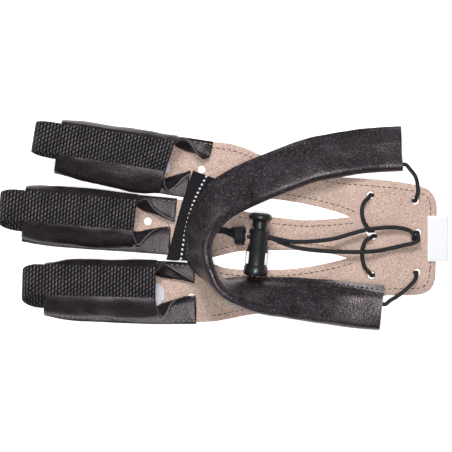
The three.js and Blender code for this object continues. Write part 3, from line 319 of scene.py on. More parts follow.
CORD_ROUTE: tuple[Any, ...] = (
    (10.3, -5.4, 9.3), (15.9, -5.5, 9.3), (21.5, -5.7, 9.2), (31.4, -7.6, 7.6), (41.8, -7.5, 6.8),
    (52.1, -6.2, 7.0), (60.2, -3.9, 7.6), (67.4, -2.0, 8.0), (79.8, -0.8, 6.9), (85.4, -1.5, 6.4),
    (89.3, -3.0, 6.1),
    ("middle_right", 1), (81.0, -6.2, 1.15), ("middle_left", 1),
    (67.3, -7.2, 5.8), (65.8, -10.6, 5.6), (65.5, -14.4, 5.5), (66.7, -19.8, 5.5),
    ("bottom_left", 0), (81.0, -23.6, 1.15), ("bottom_right", 0),
    (90.8, -26.2, 5.8), (88.9, -28.3, 5.8), (86.2, -31.0, 5.7), (82.2, -34.0, 5.5), (78.8, -36.1, 5.3),
    "sleeve",
    (88.6, 27.2, 3.6), (91.2, 23.6, 4.7), (92.2, 19.5, 5.6), (92.3, 15.8, 5.9),
    ("top_right", 0), (80.5, 13.4, 1.15), ("top_left", 0),
    (66.3, 10.8, 5.6), (65.4, 6.6, 5.6), (66.4, 1.9, 5.6),
    ("middle_left", 0), (80.5, -1.9, 1.15), ("middle_right", 0),
    (92.4, -7.0, 7.4), (89.6, -8.5, 7.3), (86.0, -9.3, 6.9), (79.8, -10.7, 6.4), (72.7, -12.1, 7.2),
    (66.2, -12.6, 7.9), (57.8, -12.6, 7.2), (48.7, -12.3, 6.5), (34.8, -10.7, 6.3), (27.9, -8.6, 6.5),
    (21.7, -6.1, 7.0), (15.9, -5.5, 7.0), (10.3, -5.4, 7.0),
)
CORD_LIE = 1.35
PASS_REACH = 2.2
PASS_LEAN = 0.3


def hermite(k: float, start: Any, end: Any, leaving: Any, arriving: Any) -> Any:
    """Cubic blend from a start to an end with the slopes at each; k runs from 0 to 1."""
    return (
        (2 * k**3 - 3 * k**2 + 1) * start + (k**3 - 2 * k**2 + k) * leaving
        + (-2 * k**3 + 3 * k**2) * end + (k**3 - k**2) * arriving
    )


def column(rows: Sequence[Any], place: str, key: str, value: float) -> float:
    """Smooth value of one column of a table at a place along it.

    Args:
        rows: The table, in rising order of its place column.
        place: Name of the place column; with none, the row's number is its place.
        key: Name of the wanted column.
        value: Place to read at; past an end, the end's value holds.

    Returns:
        The interpolated value.
    """
    xs = [getattr(row, place) for row in rows] if place else range(len(rows))
    ys = [getattr(row, key) for row in rows]
    last = len(rows) - 1
    if value <= xs[0]:
        return ys[0]
    if value >= xs[last]:
        return ys[last]
    i = max(n for n in range(last) if xs[n] <= value)

    def slope(a: int, b: int) -> float:
        """Rise over run between two rows."""
        return (ys[b] - ys[a]) / (xs[b] - xs[a])

    width, here = xs[i + 1] - xs[i], slope(i, i + 1)
    before = (slope(i - 1, i) + here) / 2 if i > 0 else here
    after = (here + slope(i + 1, i + 2)) / 2 if i + 1 < last else here
    k = (value - xs[i]) / width
    return hermite(k, ys[i], ys[i + 1], width * before, width * after)


def spot(place: Any) -> Vector:
    """A place in millimetres, from its shares."""
    return Vector((place.x * GLOVE_LENGTH, place.y * GLOVE_WIDTH))


def smooth_run(rows: Sequence[Place], steps: int) -> list[Vector]:
    """Uniform smooth curve through places, with steps pieces between each two.

    Args:
        rows: The places.
        steps: Pieces between each two places.

    Returns:
        Points in millimetres.
    """
    points = [spot(row) for row in rows]
    run = []
    for i in range(len(points) - 1):
        p0, p1, p2 = points[max(i - 1, 0)], points[i], points[i + 1]
        p3 = points[min(i + 2, len(points) - 1)]
        run += [hermite(n / steps, p1, p2, (p2 - p0) / 2, (p3 - p1) / 2) for n in range(steps)]
    return [*run, points[-1]]


def centripetal(points: Sequence[Vector], k: float) -> Vector:
    """Point on the even-tension curve through points.

    Args:
        points: The points it passes through.
        k: Place along it, counted in points from 0.

    Returns:
        The point.
    """
    last = len(points) - 1
    i = min(int(max(k, 0)), last - 1)
    w = k - i
    p1, p2 = points[i], points[i + 1]
    p0 = points[i - 1] if i > 0 else p1 * 2 - p2
    p3 = points[i + 2] if i + 2 <= last else p2 * 2 - p1
    d0, d1, d2 = (max((b - a).length, 1e-4) ** 0.5 for a, b in ((p0, p1), (p1, p2), (p2, p3)))
    t1 = ((p1 - p0) / d0 - (p2 - p0) / (d0 + d1) + (p2 - p1) / d1) * d1
    t2 = ((p2 - p1) / d1 - (p3 - p1) / (d1 + d2) + (p3 - p2) / d2) * d1
    return p1 + t1 * w + (-3 * p1 + 3 * p2 - 2 * t1 - t2) * w**2 + (2 * p1 - 2 * p2 + t1 + t2) * w**3


def lift(x: float, y: float) -> float:
    """Height of the panel's underside at a place in millimetres."""
    along = column(LIFT_ALONG, "at", "lift", x / GLOVE_LENGTH)
    return PLATE_LIFT * along * column(LIFT_ACROSS, "at", "lift", y / GLOVE_WIDTH)


def srgb(code: str) -> tuple[float, float, float, float]:
    """Linear colour of an sRGB hex code such as #2a272b.

    Args:
        code: The hex code.

    Returns:
        The linear colour.
    """
    parts = [int(code[i:i + 2], 16) / 255 for i in (1, 3, 5)]
    red, green, blue = (c / 12.92 if c <= 0.04045 else ((c + 0.055) / 1.055) ** 2.4 for c in parts)
    return red, green, blue, 1.0


def make_object(name: str, points: Iterable[Sequence[float]], faces: Sequence[Sequence[int]]) -> bpy.types.Object:
    """Mesh object at the origin.

    Args:
        name: Its name.
        points: Its points in millimetres.
        faces: Its faces.

    Returns:
        The object, linked to the scene.
    """
    mesh = bpy.data.meshes.new(name)
    mesh.from_pydata([Vector(p) * MM for p in points], [], faces)
    mesh.validate()
    piece = bpy.data.objects.new(name, mesh)
    bpy.context.scene.collection.objects.link(piece)
    return piece


def grid_faces(rows: int, columns: int, start: int = 0, closed: bool = False) -> list[tuple[int, ...]]:
    """Quads of a grid of rows; a closed grid joins its last column to its first.

    Args:
        rows: Rows of points.
        columns: Points in a row.
        start: Number of the first point.
        closed: Whether each row is a ring.

    Returns:
        The faces.
    """
    faces = []
    for i in range(rows - 1):
        for j in range(columns if closed else columns - 1):
            a, b = start + i * columns + j, start + i * columns + (j + 1) % columns
            faces.append((a, b, b + columns, a + columns))
    return faces


def set_uv(piece: bpy.types.Object, values: Sequence[Sequence[float]]) -> None:
    """Gives a mesh a UV map from one value per point, in millimetres along and across the cloth.

    Args:
        piece: The mesh object.
        values: One pair for each point.
    """
    layer = piece.data.uv_layers.new(name="cloth")
    for loop in piece.data.loops:
        layer.data[loop.index].uv = values[loop.vertex_index]


def bake(piece: bpy.types.Object) -> None:
    """Turns a piece's modifiers into plain mesh.

    Args:
        piece: The mesh object.
    """
    bpy.context.view_layer.update()
    graph = bpy.context.evaluated_depsgraph_get()
    mesh = bpy.data.meshes.new_from_object(
        piece.evaluated_get(graph), preserve_all_data_layers=True, depsgraph=graph)
    piece.modifiers.clear()
    old, piece.data = piece.data, mesh
    mesh.name = piece.name
    bpy.data.meshes.remove(old)


def thicken(piece: bpy.types.Object, wall: float, rim: int = 0, skived: float = 1.0) -> None:
    """Turns an open sheet into a closed shell, half of the wall on each side of it.

    Args:
        piece: The sheet, on the middle of its wall.
        wall: Wall thickness in millimetres.
        rim: Material slot of the rim.
        skived: Share of the wall that is left at the rim.
    """
    shell = bmesh.new()
    shell.from_mesh(piece.data)
    bmesh.ops.remove_doubles(shell, verts=shell.verts, dist=2e-6)
    bmesh.ops.dissolve_degenerate(shell, edges=shell.edges, dist=2e-6)
    shell.normal_update()
    half = wall * MM / 2
    layers = [shell.loops.layers.uv.active] if shell.loops.layers.uv else []
    sheet = list(shell.faces)
    rims = [edge for edge in shell.edges if edge.is_boundary]
    twins = {}
    for point in list(shell.verts):
        reach = point.normal * half * (skived if point.is_boundary else 1.0)
        twins[point] = shell.verts.new(point.co - reach)
        point.co += reach
    for face in sheet:
        made = shell.faces.new([twins[point] for point in reversed(face.verts)])
        made.smooth = True
        for layer in layers:
            for loop, old in zip(made.loops, reversed(face.loops)):
                loop[layer].uv = old[layer].uv
    for edge in rims:
        loop = edge.link_loops[0]
        a, b = loop.vert, loop.link_loop_next.vert
        wall_face = shell.faces.new([b, a, twins[a], twins[b]])
        wall_face.material_index = rim
        for layer in layers:
            ends = (loop.link_loop_next[layer].uv, loop[layer].uv)
            for made, uv in zip(wall_face.loops, (ends[0], ends[1], ends[1], ends[0])):
                made[layer].uv = uv
    shell.to_mesh(piece.data)
    shell.free()
    piece.data.update()


def close_shell(piece: bpy.types.Object, wall: float, rounding: float, rim: int = 0, skived: float = 1.0) -> None:
    """Gives an open sheet its wall and soft edges, and bakes them.

    Args:
        piece: The sheet, on the middle of its wall.
        wall: Wall thickness in millimetres.
        rounding: How far the rim's edges are rounded, in millimetres.
        rim: Material slot of the rim.
        skived: Share of the wall that is left at the rim.
    """
    thicken(piece, wall, rim, skived)
    bevel = piece.modifiers.new("edge", "BEVEL")
    bevel.width, bevel.segments, bevel.limit_method = rounding * MM, 2, "ANGLE"
    bevel.angle_limit = math.radians(62)
    bake(piece)


def smooth(piece: bpy.types.Object, angle: float) -> None:
    """Smooth shading with sharp edges past an angle in degrees."""
    piece.data.shade_smooth()
    piece.data.set_sharp_from_angle(angle=math.radians(angle))


def outward(piece: bpy.types.Object) -> None:
    """Merges a closed mesh's doubles and turns its faces outward.

    Args:
        piece: The mesh object.
    """
    shell = bmesh.new()
    shell.from_mesh(piece.data)
    bmesh.ops.remove_doubles(shell, verts=shell.verts, dist=1e-6)
    bmesh.ops.recalc_face_normals(shell, faces=shell.faces)
    shell.to_mesh(piece.data)
    shell.free()


def ruffle(piece: bpy.types.Object, depth: float, size: tuple[float, float, float], seed: int) -> None:
    """Moves a mesh's points along their normals by soft noise.

    Args:
        piece: The mesh.
        depth: Furthest move in millimetres.
        size: Size of a fold along each axis in millimetres.
        seed: Picks the pattern.
    """
    mesh = piece.data
    normals = [point.normal.copy() for point in mesh.vertices]
    for point, normal in zip(mesh.vertices, normals):
        at = Vector([point.co[i] / MM / size[i] for i in range(3)]) + Vector((seed * 17.3, seed * 5.1, 0))
        point.co += normal * (noise.fractal(at, 1.0, 2.1, 3) * depth * MM)
    mesh.update()


NOISE = "ShaderNodeTexNoise"
RAMP = "ShaderNodeValToRGB"
MATH = "ShaderNodeMath"
MIX = "ShaderNodeMix"
BUMP = "ShaderNodeBump"
SPLIT = "ShaderNodeSeparateXYZ"


def set_stops(ramp: bpy.types.ColorRamp, stops: Sequence[tuple[float, tuple[float, ...]]]) -> None:
    """Gives a colour ramp its stops.

    Args:
        ramp: The colour ramp.
        stops: Each stop's place and colour.
    """
    while len(ramp.elements) > 1:
        ramp.elements.remove(ramp.elements[-1])
    ramp.elements[0].position, ramp.elements[0].color = stops[0]
    for position, colour in stops[1:]:
        ramp.elements.new(position).color = colour


def add_node(tree: bpy.types.NodeTree, kind: str, settings: dict[str, Any] | None = None,
             inputs: dict[str | int, Any] | Sequence[Any] = ()) -> bpy.types.Node:
    """Adds a node with its settings and links.

    Args:
        tree: The node tree.
        kind: The node's type name.
        settings: Attributes to set on it; "stops" are a colour ramp's places and colours.
        inputs: Values, sockets or nodes for its inputs, in order or by name or number. A node
            stands for its first output.

    Returns:
        The node.
    """
    node = tree.nodes.new(kind)
    for name, value in (settings or {}).items():
        if name == "stops":
            set_stops(node.color_ramp, value)
        else:
            setattr(node, name, value)
    for key, value in inputs.items() if isinstance(inputs, dict) else enumerate(inputs):
        if isinstance(value, bpy.types.Node):
            value = value.outputs[0]
        if isinstance(value, bpy.types.NodeSocket):
            tree.links.new(value, node.inputs[key])
        else:
            node.inputs[key].default_value = value
    return node


def grey(value: float) -> tuple[float, float, float, float]:
    """An opaque grey of a linear value."""
    return value, value, value, 1.0


def new_material(name: str) -> tuple[bpy.types.Material, bpy.types.NodeTree]:
    """A material with an empty tree.

    Args:
        name: Its name.

    Returns:
        The material and its tree.
    """
    material = bpy.data.materials.new(name)
    material.use_nodes = True
    material.node_tree.nodes.clear()
    return material, material.node_tree


def add_surface(tree: bpy.types.NodeTree, inputs: dict[str, Any]) -> None:
    """Ends a material's tree with its shader, from values, sockets or nodes by input name.

    Args:
        tree: The node tree.
        inputs: What goes into the shader, by input name.
    """
    shader = add_node(tree, "ShaderNodeBsdfPrincipled", inputs=inputs)
    add_node(tree, "ShaderNodeOutputMaterial", inputs={"Surface": shader})


def millimetres(tree: bpy.types.NodeTree, stretch: tuple[float, float, float] = (1, 1, 1)) -> bpy.types.Node:
    """Object coordinates counted in millimetres, divided by a stretch along each axis.

    Args:
        tree: The node tree.
        stretch: How much longer the pattern is along each axis.

    Returns:
        The coordinates' node.
    """
    place = add_node(tree, "ShaderNodeTexCoord").outputs["Object"]
    scale = tuple(1 / MM / s for s in stretch)
    return add_node(tree, "ShaderNodeMapping", inputs={"Vector": place, "Scale": scale})


@dataclass(frozen=True)
class Suede:
    """Split cowhide, sueded: a matt nap with paler and darker fibres and no shine.

    Real fibres are about 0.1 mm, too fine to show, so they are drawn 0.55 mm wide.
    """

    light: str = "#dfc8bb"
    middle: str = "#c3a99c"
    dark: str = "#927b6f"
    fibre: float = 0.55

    def material(self) -> bpy.types.Material:
        """Builds the material."""
        made, tree = new_material("tan_suede")
        here = millimetres(tree)
        nap = add_node(tree, NOISE, inputs={
            "Vector": here, "Scale": 1 / self.fibre, "Detail": 5.0, "Roughness": 0.72})
        cloud = add_node(tree, NOISE, inputs={"Vector": here, "Scale": 0.09, "Detail": 3.0})
        fleck = add_node(tree, NOISE, inputs={"Vector": here, "Scale": 1.3, "Detail": 2.0, "Roughness": 0.8})
        base = add_node(tree, RAMP, {"stops": [
            (0.36, srgb(self.dark)), (0.50, srgb(self.middle)), (0.64, srgb(self.light))]}, [nap])
        mottle = add_node(tree, RAMP, {"stops": [(0.32, grey(0.90)), (0.62, grey(1.0))]}, [cloud])
        spots = add_node(tree, RAMP, {"stops": [(0.30, grey(0.66)), (0.40, grey(1.0))]}, [fleck])
        multiply = {"data_type": "RGBA", "blend_type": "MULTIPLY"}
        toned = add_node(tree, MIX, multiply, {0: 1.0, 6: base, 7: mottle}).outputs[2]
        flecked = add_node(tree, MIX, multiply, {0: 0.75, 6: toned, 7: spots}).outputs[2]
        bump = add_node(tree, BUMP, inputs={"Strength": 0.75, "Distance": 0.3 * MM, "Height": nap})
        add_surface(tree, {
            "Base Color": flecked, "Normal": bump, "Roughness": 0.97, "Specular IOR Level": 0.15,
            "Sheen Weight": 0.25, "Sheen Roughness": 0.6})
        return made


@dataclass(frozen=True)
class Leather:
    """Full-grain cowhide, dyed black and lightly waxed: fine pebbles that catch a soft light.

    Real pores are about 0.3 mm, too fine to show, so the pebbles are drawn about 0.8 mm wide.
    """

    name: str = "black_leather"
    light: str = "#262127"
    dark: str = "#0d0b0e"
    roughness: float = 0.37
    pebble: float = 0.8
    relief: float = 0.15
    shine: float = 0.55
    # Colour of pale flecks painted on the grain as glints of light.
    fleck: str = "#544b4e"

    def material(self) -> bpy.types.Material:
        """Builds the material."""
        made, tree = new_material(self.name)
        here = millimetres(tree)
        warp = add_node(tree, NOISE, inputs={"Vector": here, "Scale": 0.5, "Detail": 2.0})
        bent = add_node(tree, MIX, {"data_type": "RGBA", "blend_type": "ADD"}, {
            0: 0.25, 6: here, 7: warp.outputs["Color"]}).outputs[2]
        cells = add_node(tree, "ShaderNodeTexVoronoi", {"feature": "SMOOTH_F1"}, {
            "Vector": bent, "Scale": 1 / self.pebble, "Smoothness": 0.35, "Randomness": 1.0})
        crease = add_node(tree, NOISE, inputs={
            "Vector": millimetres(tree, (3.2, 1.0, 1.0)), "Scale": 0.22, "Detail": 4.0, "Roughness": 0.6})
        tone = add_node(tree, NOISE, inputs={"Vector": here, "Scale": 0.12, "Detail": 4.0})
        mottle = add_node(tree, NOISE, inputs={"Vector": here, "Scale": 1.35, "Detail": 2.0, "Roughness": 0.8})
        grain = add_node(tree, MATH, {"operation": "MULTIPLY_ADD"}, [cells, -0.55, 0.8])
        folds = add_node(tree, MATH, {"operation": "MULTIPLY"}, [crease, 0.2])
        height = add_node(tree, MATH, {"operation": "ADD"}, [grain, folds])
        bump = add_node(tree, BUMP, inputs={"Strength": 0.9, "Distance": self.relief * MM, "Height": height})
        colour = add_node(tree, RAMP, {"stops": [(0.30, srgb(self.dark)), (0.70, srgb(self.light))]}, [tone])
        # Painted shade: the colour is darkened in the grooves between pebbles, where the cells' distance is large.
        groove_shade = add_node(tree, RAMP, {"stops": [(0.15, grey(1.0)), (0.75, grey(0.55))]}, [cells])
        # Painted glints: pale flecks where this noise is high, mixed into the colour below.
        painted_glint_mask = add_node(tree, RAMP, {"stops": [(0.54, grey(0.0)), (0.70, grey(0.45))]}, [mottle])
        rough = add_node(tree, "ShaderNodeMapRange", inputs={
            "Value": tone, "To Min": self.roughness - 0.07, "To Max": self.roughness + 0.1})
        groove_shaded_colour = add_node(tree, MIX, {"data_type": "RGBA", "blend_type": "MULTIPLY"}, {
            0: 0.8, 6: colour, 7: groove_shade}).outputs[2]
        flecked = add_node(tree, MIX, {"data_type": "RGBA"}, {0: painted_glint_mask, 6: groove_shaded_colour, 7: srgb(self.fleck)}).outputs[2]
        add_surface(tree, {
            "Base Color": flecked, "Normal": bump, "Roughness": rough, "Specular IOR Level": self.shine,
            "Specular Tint": srgb("#fdeff5"), "Sheen Weight": 0.03})
        return made


@dataclass(frozen=True)
class RawEdge:
    """Cut edge of black leather: dry grey fibre that the dye has half covered."""

    light: str = "#77787d"
    dark: str = "#2f3034"

    def material(self) -> bpy.types.Material:
        """Builds the material."""
        made, tree = new_material("leather_cut_edge")
        fibre = add_node(tree, NOISE, inputs={
            "Vector": millimetres(tree), "Scale": 1.4, "Detail": 4.0, "Roughness": 0.7})
        colour = add_node(tree, RAMP, {"stops": [(0.32, srgb(self.dark)), (0.66, srgb(self.light))]}, [fibre])
        bump = add_node(tree, BUMP, inputs={"Strength": 0.5, "Distance": 0.15 * MM, "Height": fibre})
        add_surface(tree, {"Base Color": colour, "Normal": bump, "Roughness": 0.85})
        return made


@dataclass(frozen=True)
class Webbing:
    """Woven rubber-cored webbing: staggered pale polyester floats over a black ground, each float painted brightest at
    its top as a highlight.

    The pitches are the real ones, measured off the weave at the glove's scale.
    """

    name: str = "woven_webbing"
    float_pitch: float = 1.55
    row_pitch: float = 2.2
    slant: float = 0.22
    radii: tuple[float, float] = (0.40, 0.60)
    light: str = "#6f696d"
    dark: str = "#0d0c0e"
    relief: float = 0.5

    def material(self) -> bpy.types.Material:
        """Builds the material; it reads the cloth UV map, in millimetres."""
        made, tree = new_material(self.name)

        def step(operation: str, *values: Any) -> bpy.types.Node:
            """One step of arithmetic on nodes or numbers."""
            return add_node(tree, MATH, {"operation": operation}, values)

        cloth = add_node(tree, "ShaderNodeUVMap", {"uv_map": "cloth"})
        wobble = add_node(tree, NOISE, inputs={"Vector": cloth, "Scale": 0.35, "Detail": 2.0})
        bent = add_node(tree, MIX, {"data_type": "RGBA", "blend_type": "ADD"}, {
            0: 0.35, 6: cloth, 7: wobble.outputs["Color"]}).outputs[2]
        parts = add_node(tree, SPLIT, inputs=[bent])
        along = step("DIVIDE", parts.outputs[0], self.float_pitch)
        odd = step("MODULO", step("FLOOR", along), 2.0)
        across = step("MULTIPLY_ADD", odd, 0.5, step("DIVIDE", parts.outputs[1], self.row_pitch))
        near = [step("SUBTRACT", step("FRACT", value), 0.5) for value in (along, across)]
        near[0] = step("MULTIPLY_ADD", near[1], self.slant, near[0])
        squares = [step("POWER", step("DIVIDE", step("ABSOLUTE", value), radius), 2.0)
                   for value, radius in zip(near, self.radii)]
        floats = step("MAXIMUM", step("SUBTRACT", 1.0, step("ADD", *squares)), 0.0)
        thread = add_node(tree, NOISE, inputs={"Vector": cloth, "Scale": 1.1, "Detail": 3.0})
        mottle = add_node(tree, NOISE, inputs={"Vector": cloth, "Scale": 0.11, "Detail": 3.0})
        strands = step("MULTIPLY_ADD", thread, 1.6, -0.25)
        # Pale thread colour of the floats, painted brightest at each float's top as a highlight.
        lit = step("MULTIPLY", step("MULTIPLY", step("POWER", floats, 1.1), strands),
                   step("MULTIPLY_ADD", mottle, 1.9, 0.15))
        colour = add_node(tree, RAMP, {"stops": [(0.05, srgb(self.dark)), (0.95, srgb(self.light))]}, [lit])
        height = step("ADD", step("POWER", floats, 0.5), step("MULTIPLY", thread, 0.25))
        bump = add_node(tree, BUMP, inputs={"Strength": 1.0, "Distance": self.relief * MM, "Height": height})
        add_surface(tree, {
            "Base Color": colour, "Normal": bump, "Roughness": 0.7, "Specular IOR Level": 0.14,
            "Sheen Weight": 0.02})
        return made


@dataclass(frozen=True)
class FlatWeave:
    """Tightly woven narrow cloth: fine crossing threads, with an optional line of paler marks."""

    name: str
    light: str
    dark: str
    thread: float = 0.55
    marks: bool = False

    def material(self) -> bpy.types.Material:
        """Builds the material; it reads the cloth UV map, in millimetres."""
        made, tree = new_material(self.name)
        cloth = add_node(tree, "ShaderNodeUVMap", {"uv_map": "cloth"})
        parts = add_node(tree, SPLIT, inputs=[cloth])
        multiply, add = {"operation": "MULTIPLY"}, {"operation": "MULTIPLY_ADD"}
        waves = [add_node(tree, MATH, {"operation": "SINE"}, [
            add_node(tree, MATH, multiply, [parts.outputs[i], math.tau / self.thread])]) for i in (0, 1)]
        weave = add_node(tree, MATH, add, [add_node(tree, MATH, multiply, waves), 0.5, 0.5])
        fuzz = add_node(tree, NOISE, inputs={"Vector": cloth, "Scale": 1.7, "Detail": 4.0})
        blend = add_node(tree, MATH, add, [weave, 0.4, add_node(tree, MATH, multiply, [fuzz, 0.6])])
        colour = add_node(tree, RAMP, {"stops": [(0.25, srgb(self.dark)), (0.75, srgb(self.light))]}, [blend])
        bump = add_node(tree, BUMP, inputs={"Strength": 0.6, "Distance": 0.12 * MM, "Height": blend})
        add_surface(tree, {
            "Base Color": self.add_marks(tree, parts, colour) if self.marks else colour, "Normal": bump,
            "Roughness": 0.85, "Specular IOR Level": 0.1})
        return made

    def add_marks(self, tree: bpy.types.NodeTree, parts: bpy.types.Node,
                  ground: bpy.types.Node) -> bpy.types.NodeSocket:
        """Adds plain woven dashes in white thread along the tape, 2.2 mm apart on a shallow curve.

        Args:
            tree: The node tree.
            parts: The cloth's two coordinates.
            ground: Colour of the bare tape.

        Returns:
            The colour with its dashes.
        """
        run = parts.outputs[0]
        step = add_node(tree, MATH, {"operation": "FRACT"}, [
            add_node(tree, MATH, {"operation": "DIVIDE"}, [run, 2.2])])
        dash = add_node(tree, MATH, {"operation": "LESS_THAN"}, [step, 0.45])
        curl = add_node(tree, MATH, {"operation": "SINE"}, [
            add_node(tree, MATH, {"operation": "MULTIPLY"}, [run, math.pi / 44])])
        place = add_node(tree, MATH, {"operation": "MULTIPLY_ADD"}, [curl, 2.0, parts.outputs[1]])
        row = add_node(tree, MATH, {"operation": "COMPARE"}, [place, 6.9, 0.45])
        mask = add_node(tree, MATH, {"operation": "MULTIPLY"}, [dash, row])
        share = add_node(tree, MATH, {"operation": "MULTIPLY"}, [mask, 0.9])
        return add_node(tree, MIX, {"data_type": "RGBA"}, {0: share, 6: ground, 7: srgb("#d9d8d6")}).outputs[2]


@dataclass(frozen=True)
class Felt:
    """Pressed synthetic felt: pale, soft and almost even, with a faint cloudy nap."""

    light: str = "#d6d5dc"
    dark: str = "#b5b3bd"

    def material(self) -> bpy.types.Material:
        """Builds the material."""
        made, tree = new_material("pale_felt")
        nap = add_node(tree, NOISE, inputs={
            "Vector": millimetres(tree), "Scale": 1.1, "Detail": 5.0, "Roughness": 0.7})
        colour = add_node(tree, RAMP, {"stops": [(0.3, srgb(self.dark)), (0.62, srgb(self.light))]}, [nap])
        bump = add_node(tree, BUMP, inputs={"Strength": 0.5, "Distance": 0.2 * MM, "Height": nap})
        add_surface(tree, {"Base Color": colour, "Normal": bump, "Roughness": 0.95, "Sheen Weight": 0.3})
        return made


@dataclass(frozen=True)
class BraidedCord:
    """Round elastic cord in a tight polyester braid: nearly smooth, with a soft shine on its top."""

    light: str = "#303136"
    dark: str = "#141518"
    braid_pitch: float = 1.6
    strands: int = 4

    def material(self) -> bpy.types.Material:
        """Builds the material; its UV map runs along the cord and once round it, in millimetres."""
        made, tree = new_material("braided_elastic_cord")
        cloth = add_node(tree, "ShaderNodeUVMap", {"uv_map": "cloth"})
        parts = add_node(tree, SPLIT, inputs=[cloth])
        turns = math.tau / (math.pi * CORD_DIAMETER) * self.strands
        multiply = {"operation": "MULTIPLY"}
        slants = []
        for sign in (1.0, -1.0):
            along = add_node(tree, MATH, multiply, [parts.outputs[0], math.tau / self.braid_pitch])
            around = add_node(tree, MATH, multiply, [parts.outputs[1], sign * turns])
            both = add_node(tree, MATH, {"operation": "ADD"}, [along, around])
            slants.append(add_node(tree, MATH, {"operation": "SINE"}, [both]))
        braid = add_node(tree, MATH, {"operation": "MULTIPLY_ADD"}, [
            add_node(tree, MATH, multiply, slants), 0.5, 0.5])
        colour = add_node(tree, RAMP, {"stops": [(0.2, srgb(self.dark)), (0.9, srgb(self.light))]}, [braid])
        bump = add_node(tree, BUMP, inputs={"Strength": 0.5, "Distance": 0.12 * MM, "Height": braid})
        add_surface(tree, {"Base Color": colour, "Normal": bump, "Roughness": 0.5, "Specular IOR Level": 0.25})
        return made


@dataclass(frozen=True)
class MouldedPlastic:
    """Injection-moulded acetal, black: even and glossy, with the faint waviness of a mould skin."""

    light: str = "#1f1f21"
    dark: str = "#111113"
    roughness: float = 0.32

    def material(self) -> bpy.types.Material:
        """Builds the material."""
        made, tree = new_material("moulded_black_plastic")
        skin = add_node(tree, NOISE, inputs={
            "Vector": millimetres(tree), "Scale": 0.8, "Detail": 3.0, "Roughness": 0.6})
        bump = add_node(tree, BUMP, inputs={"Strength": 0.25, "Distance": 0.05 * MM, "Height": skin})
        tone = add_node(tree, RAMP, {"stops": [(0.3, srgb(self.dark)), (0.7, srgb(self.light))]}, [skin])
        rough = add_node(tree, "ShaderNodeMapRange", inputs={
            "Value": skin, "To Min": self.roughness - 0.05, "To Max": self.roughness + 0.08})
        add_surface(tree, {"Base Color": tone, "Normal": bump, "Roughness": rough, "Specular IOR Level": 0.9})
        return made


@dataclass(frozen=True)
class Thread:
    """Bonded polyester sewing thread: two plies with a slight sheen."""

    name: str
    light: str
    dark: str

    def material(self) -> bpy.types.Material:
        """Builds the material."""
        made, tree = new_material(self.name)
        ply = add_node(tree, "ShaderNodeTexWave", {"bands_direction": "DIAGONAL"}, {
            "Vector": millimetres(tree), "Scale": 1.2, "Distortion": 1.0})
        colour = add_node(tree, RAMP, {"stops": [(0.2, srgb(self.dark)), (0.8, srgb(self.light))]}, [
            ply.outputs["Fac"]])
        add_surface(tree, {"Base Color": colour, "Roughness": 0.6, "Sheen Weight": 0.1})
        return made


class Finish(Enum):
    """Every finish on the glove, by what it is."""

    SUEDE = Suede()
    STALL_LEATHER = Leather()
    # Its last colour is the pale flecks painted on the grain as glints of light.
    SLEEVE_LEATHER = Leather("padded_black_leather", "#2c262e", "#100d11", 0.33, 0.85, 0.15, 0.75, "#8a7c7c")
    CUT_EDGE = RawEdge()
    WEBBING = Webbing()
    TAPE = FlatWeave("black_woven_tape", "#29282c", "#131215", 0.6, True)
    LABEL = FlatWeave("white_woven_label", "#efeff2", "#dcdce2", 0.4)
    FELT = Felt()
    CORD = BraidedCord()
    PLASTIC = MouldedPlastic()
    PALE_THREAD = Thread("grey_thread", "#a3a0a2", "#5f5c5f")
    BROWN_THREAD = Thread("dark_brown_thread", "#483d38", "#27201d")
    BLACK_THREAD = Thread("black_thread", "#242225", "#0d0c0d")


class Palette:
    """Materials, each built once."""

    def __init__(self) -> None:
        """Starts empty."""
        self._made: dict[Finish, bpy.types.Material] = {}

    def get(self, finish: Finish) -> bpy.types.Material:
        """The material of a finish."""
        if finish not in self._made:
            self._made[finish] = finish.value.material()
        return self._made[finish]

    def dress(self, piece: bpy.types.Object, *finishes: Finish) -> None:
        """Gives a piece its materials in slot order.

        Args:
            piece: The mesh object.
            finishes: Its finishes.
        """
        piece.data.materials.clear()
        for finish in finishes:
            piece.data.materials.append(self.get(finish))


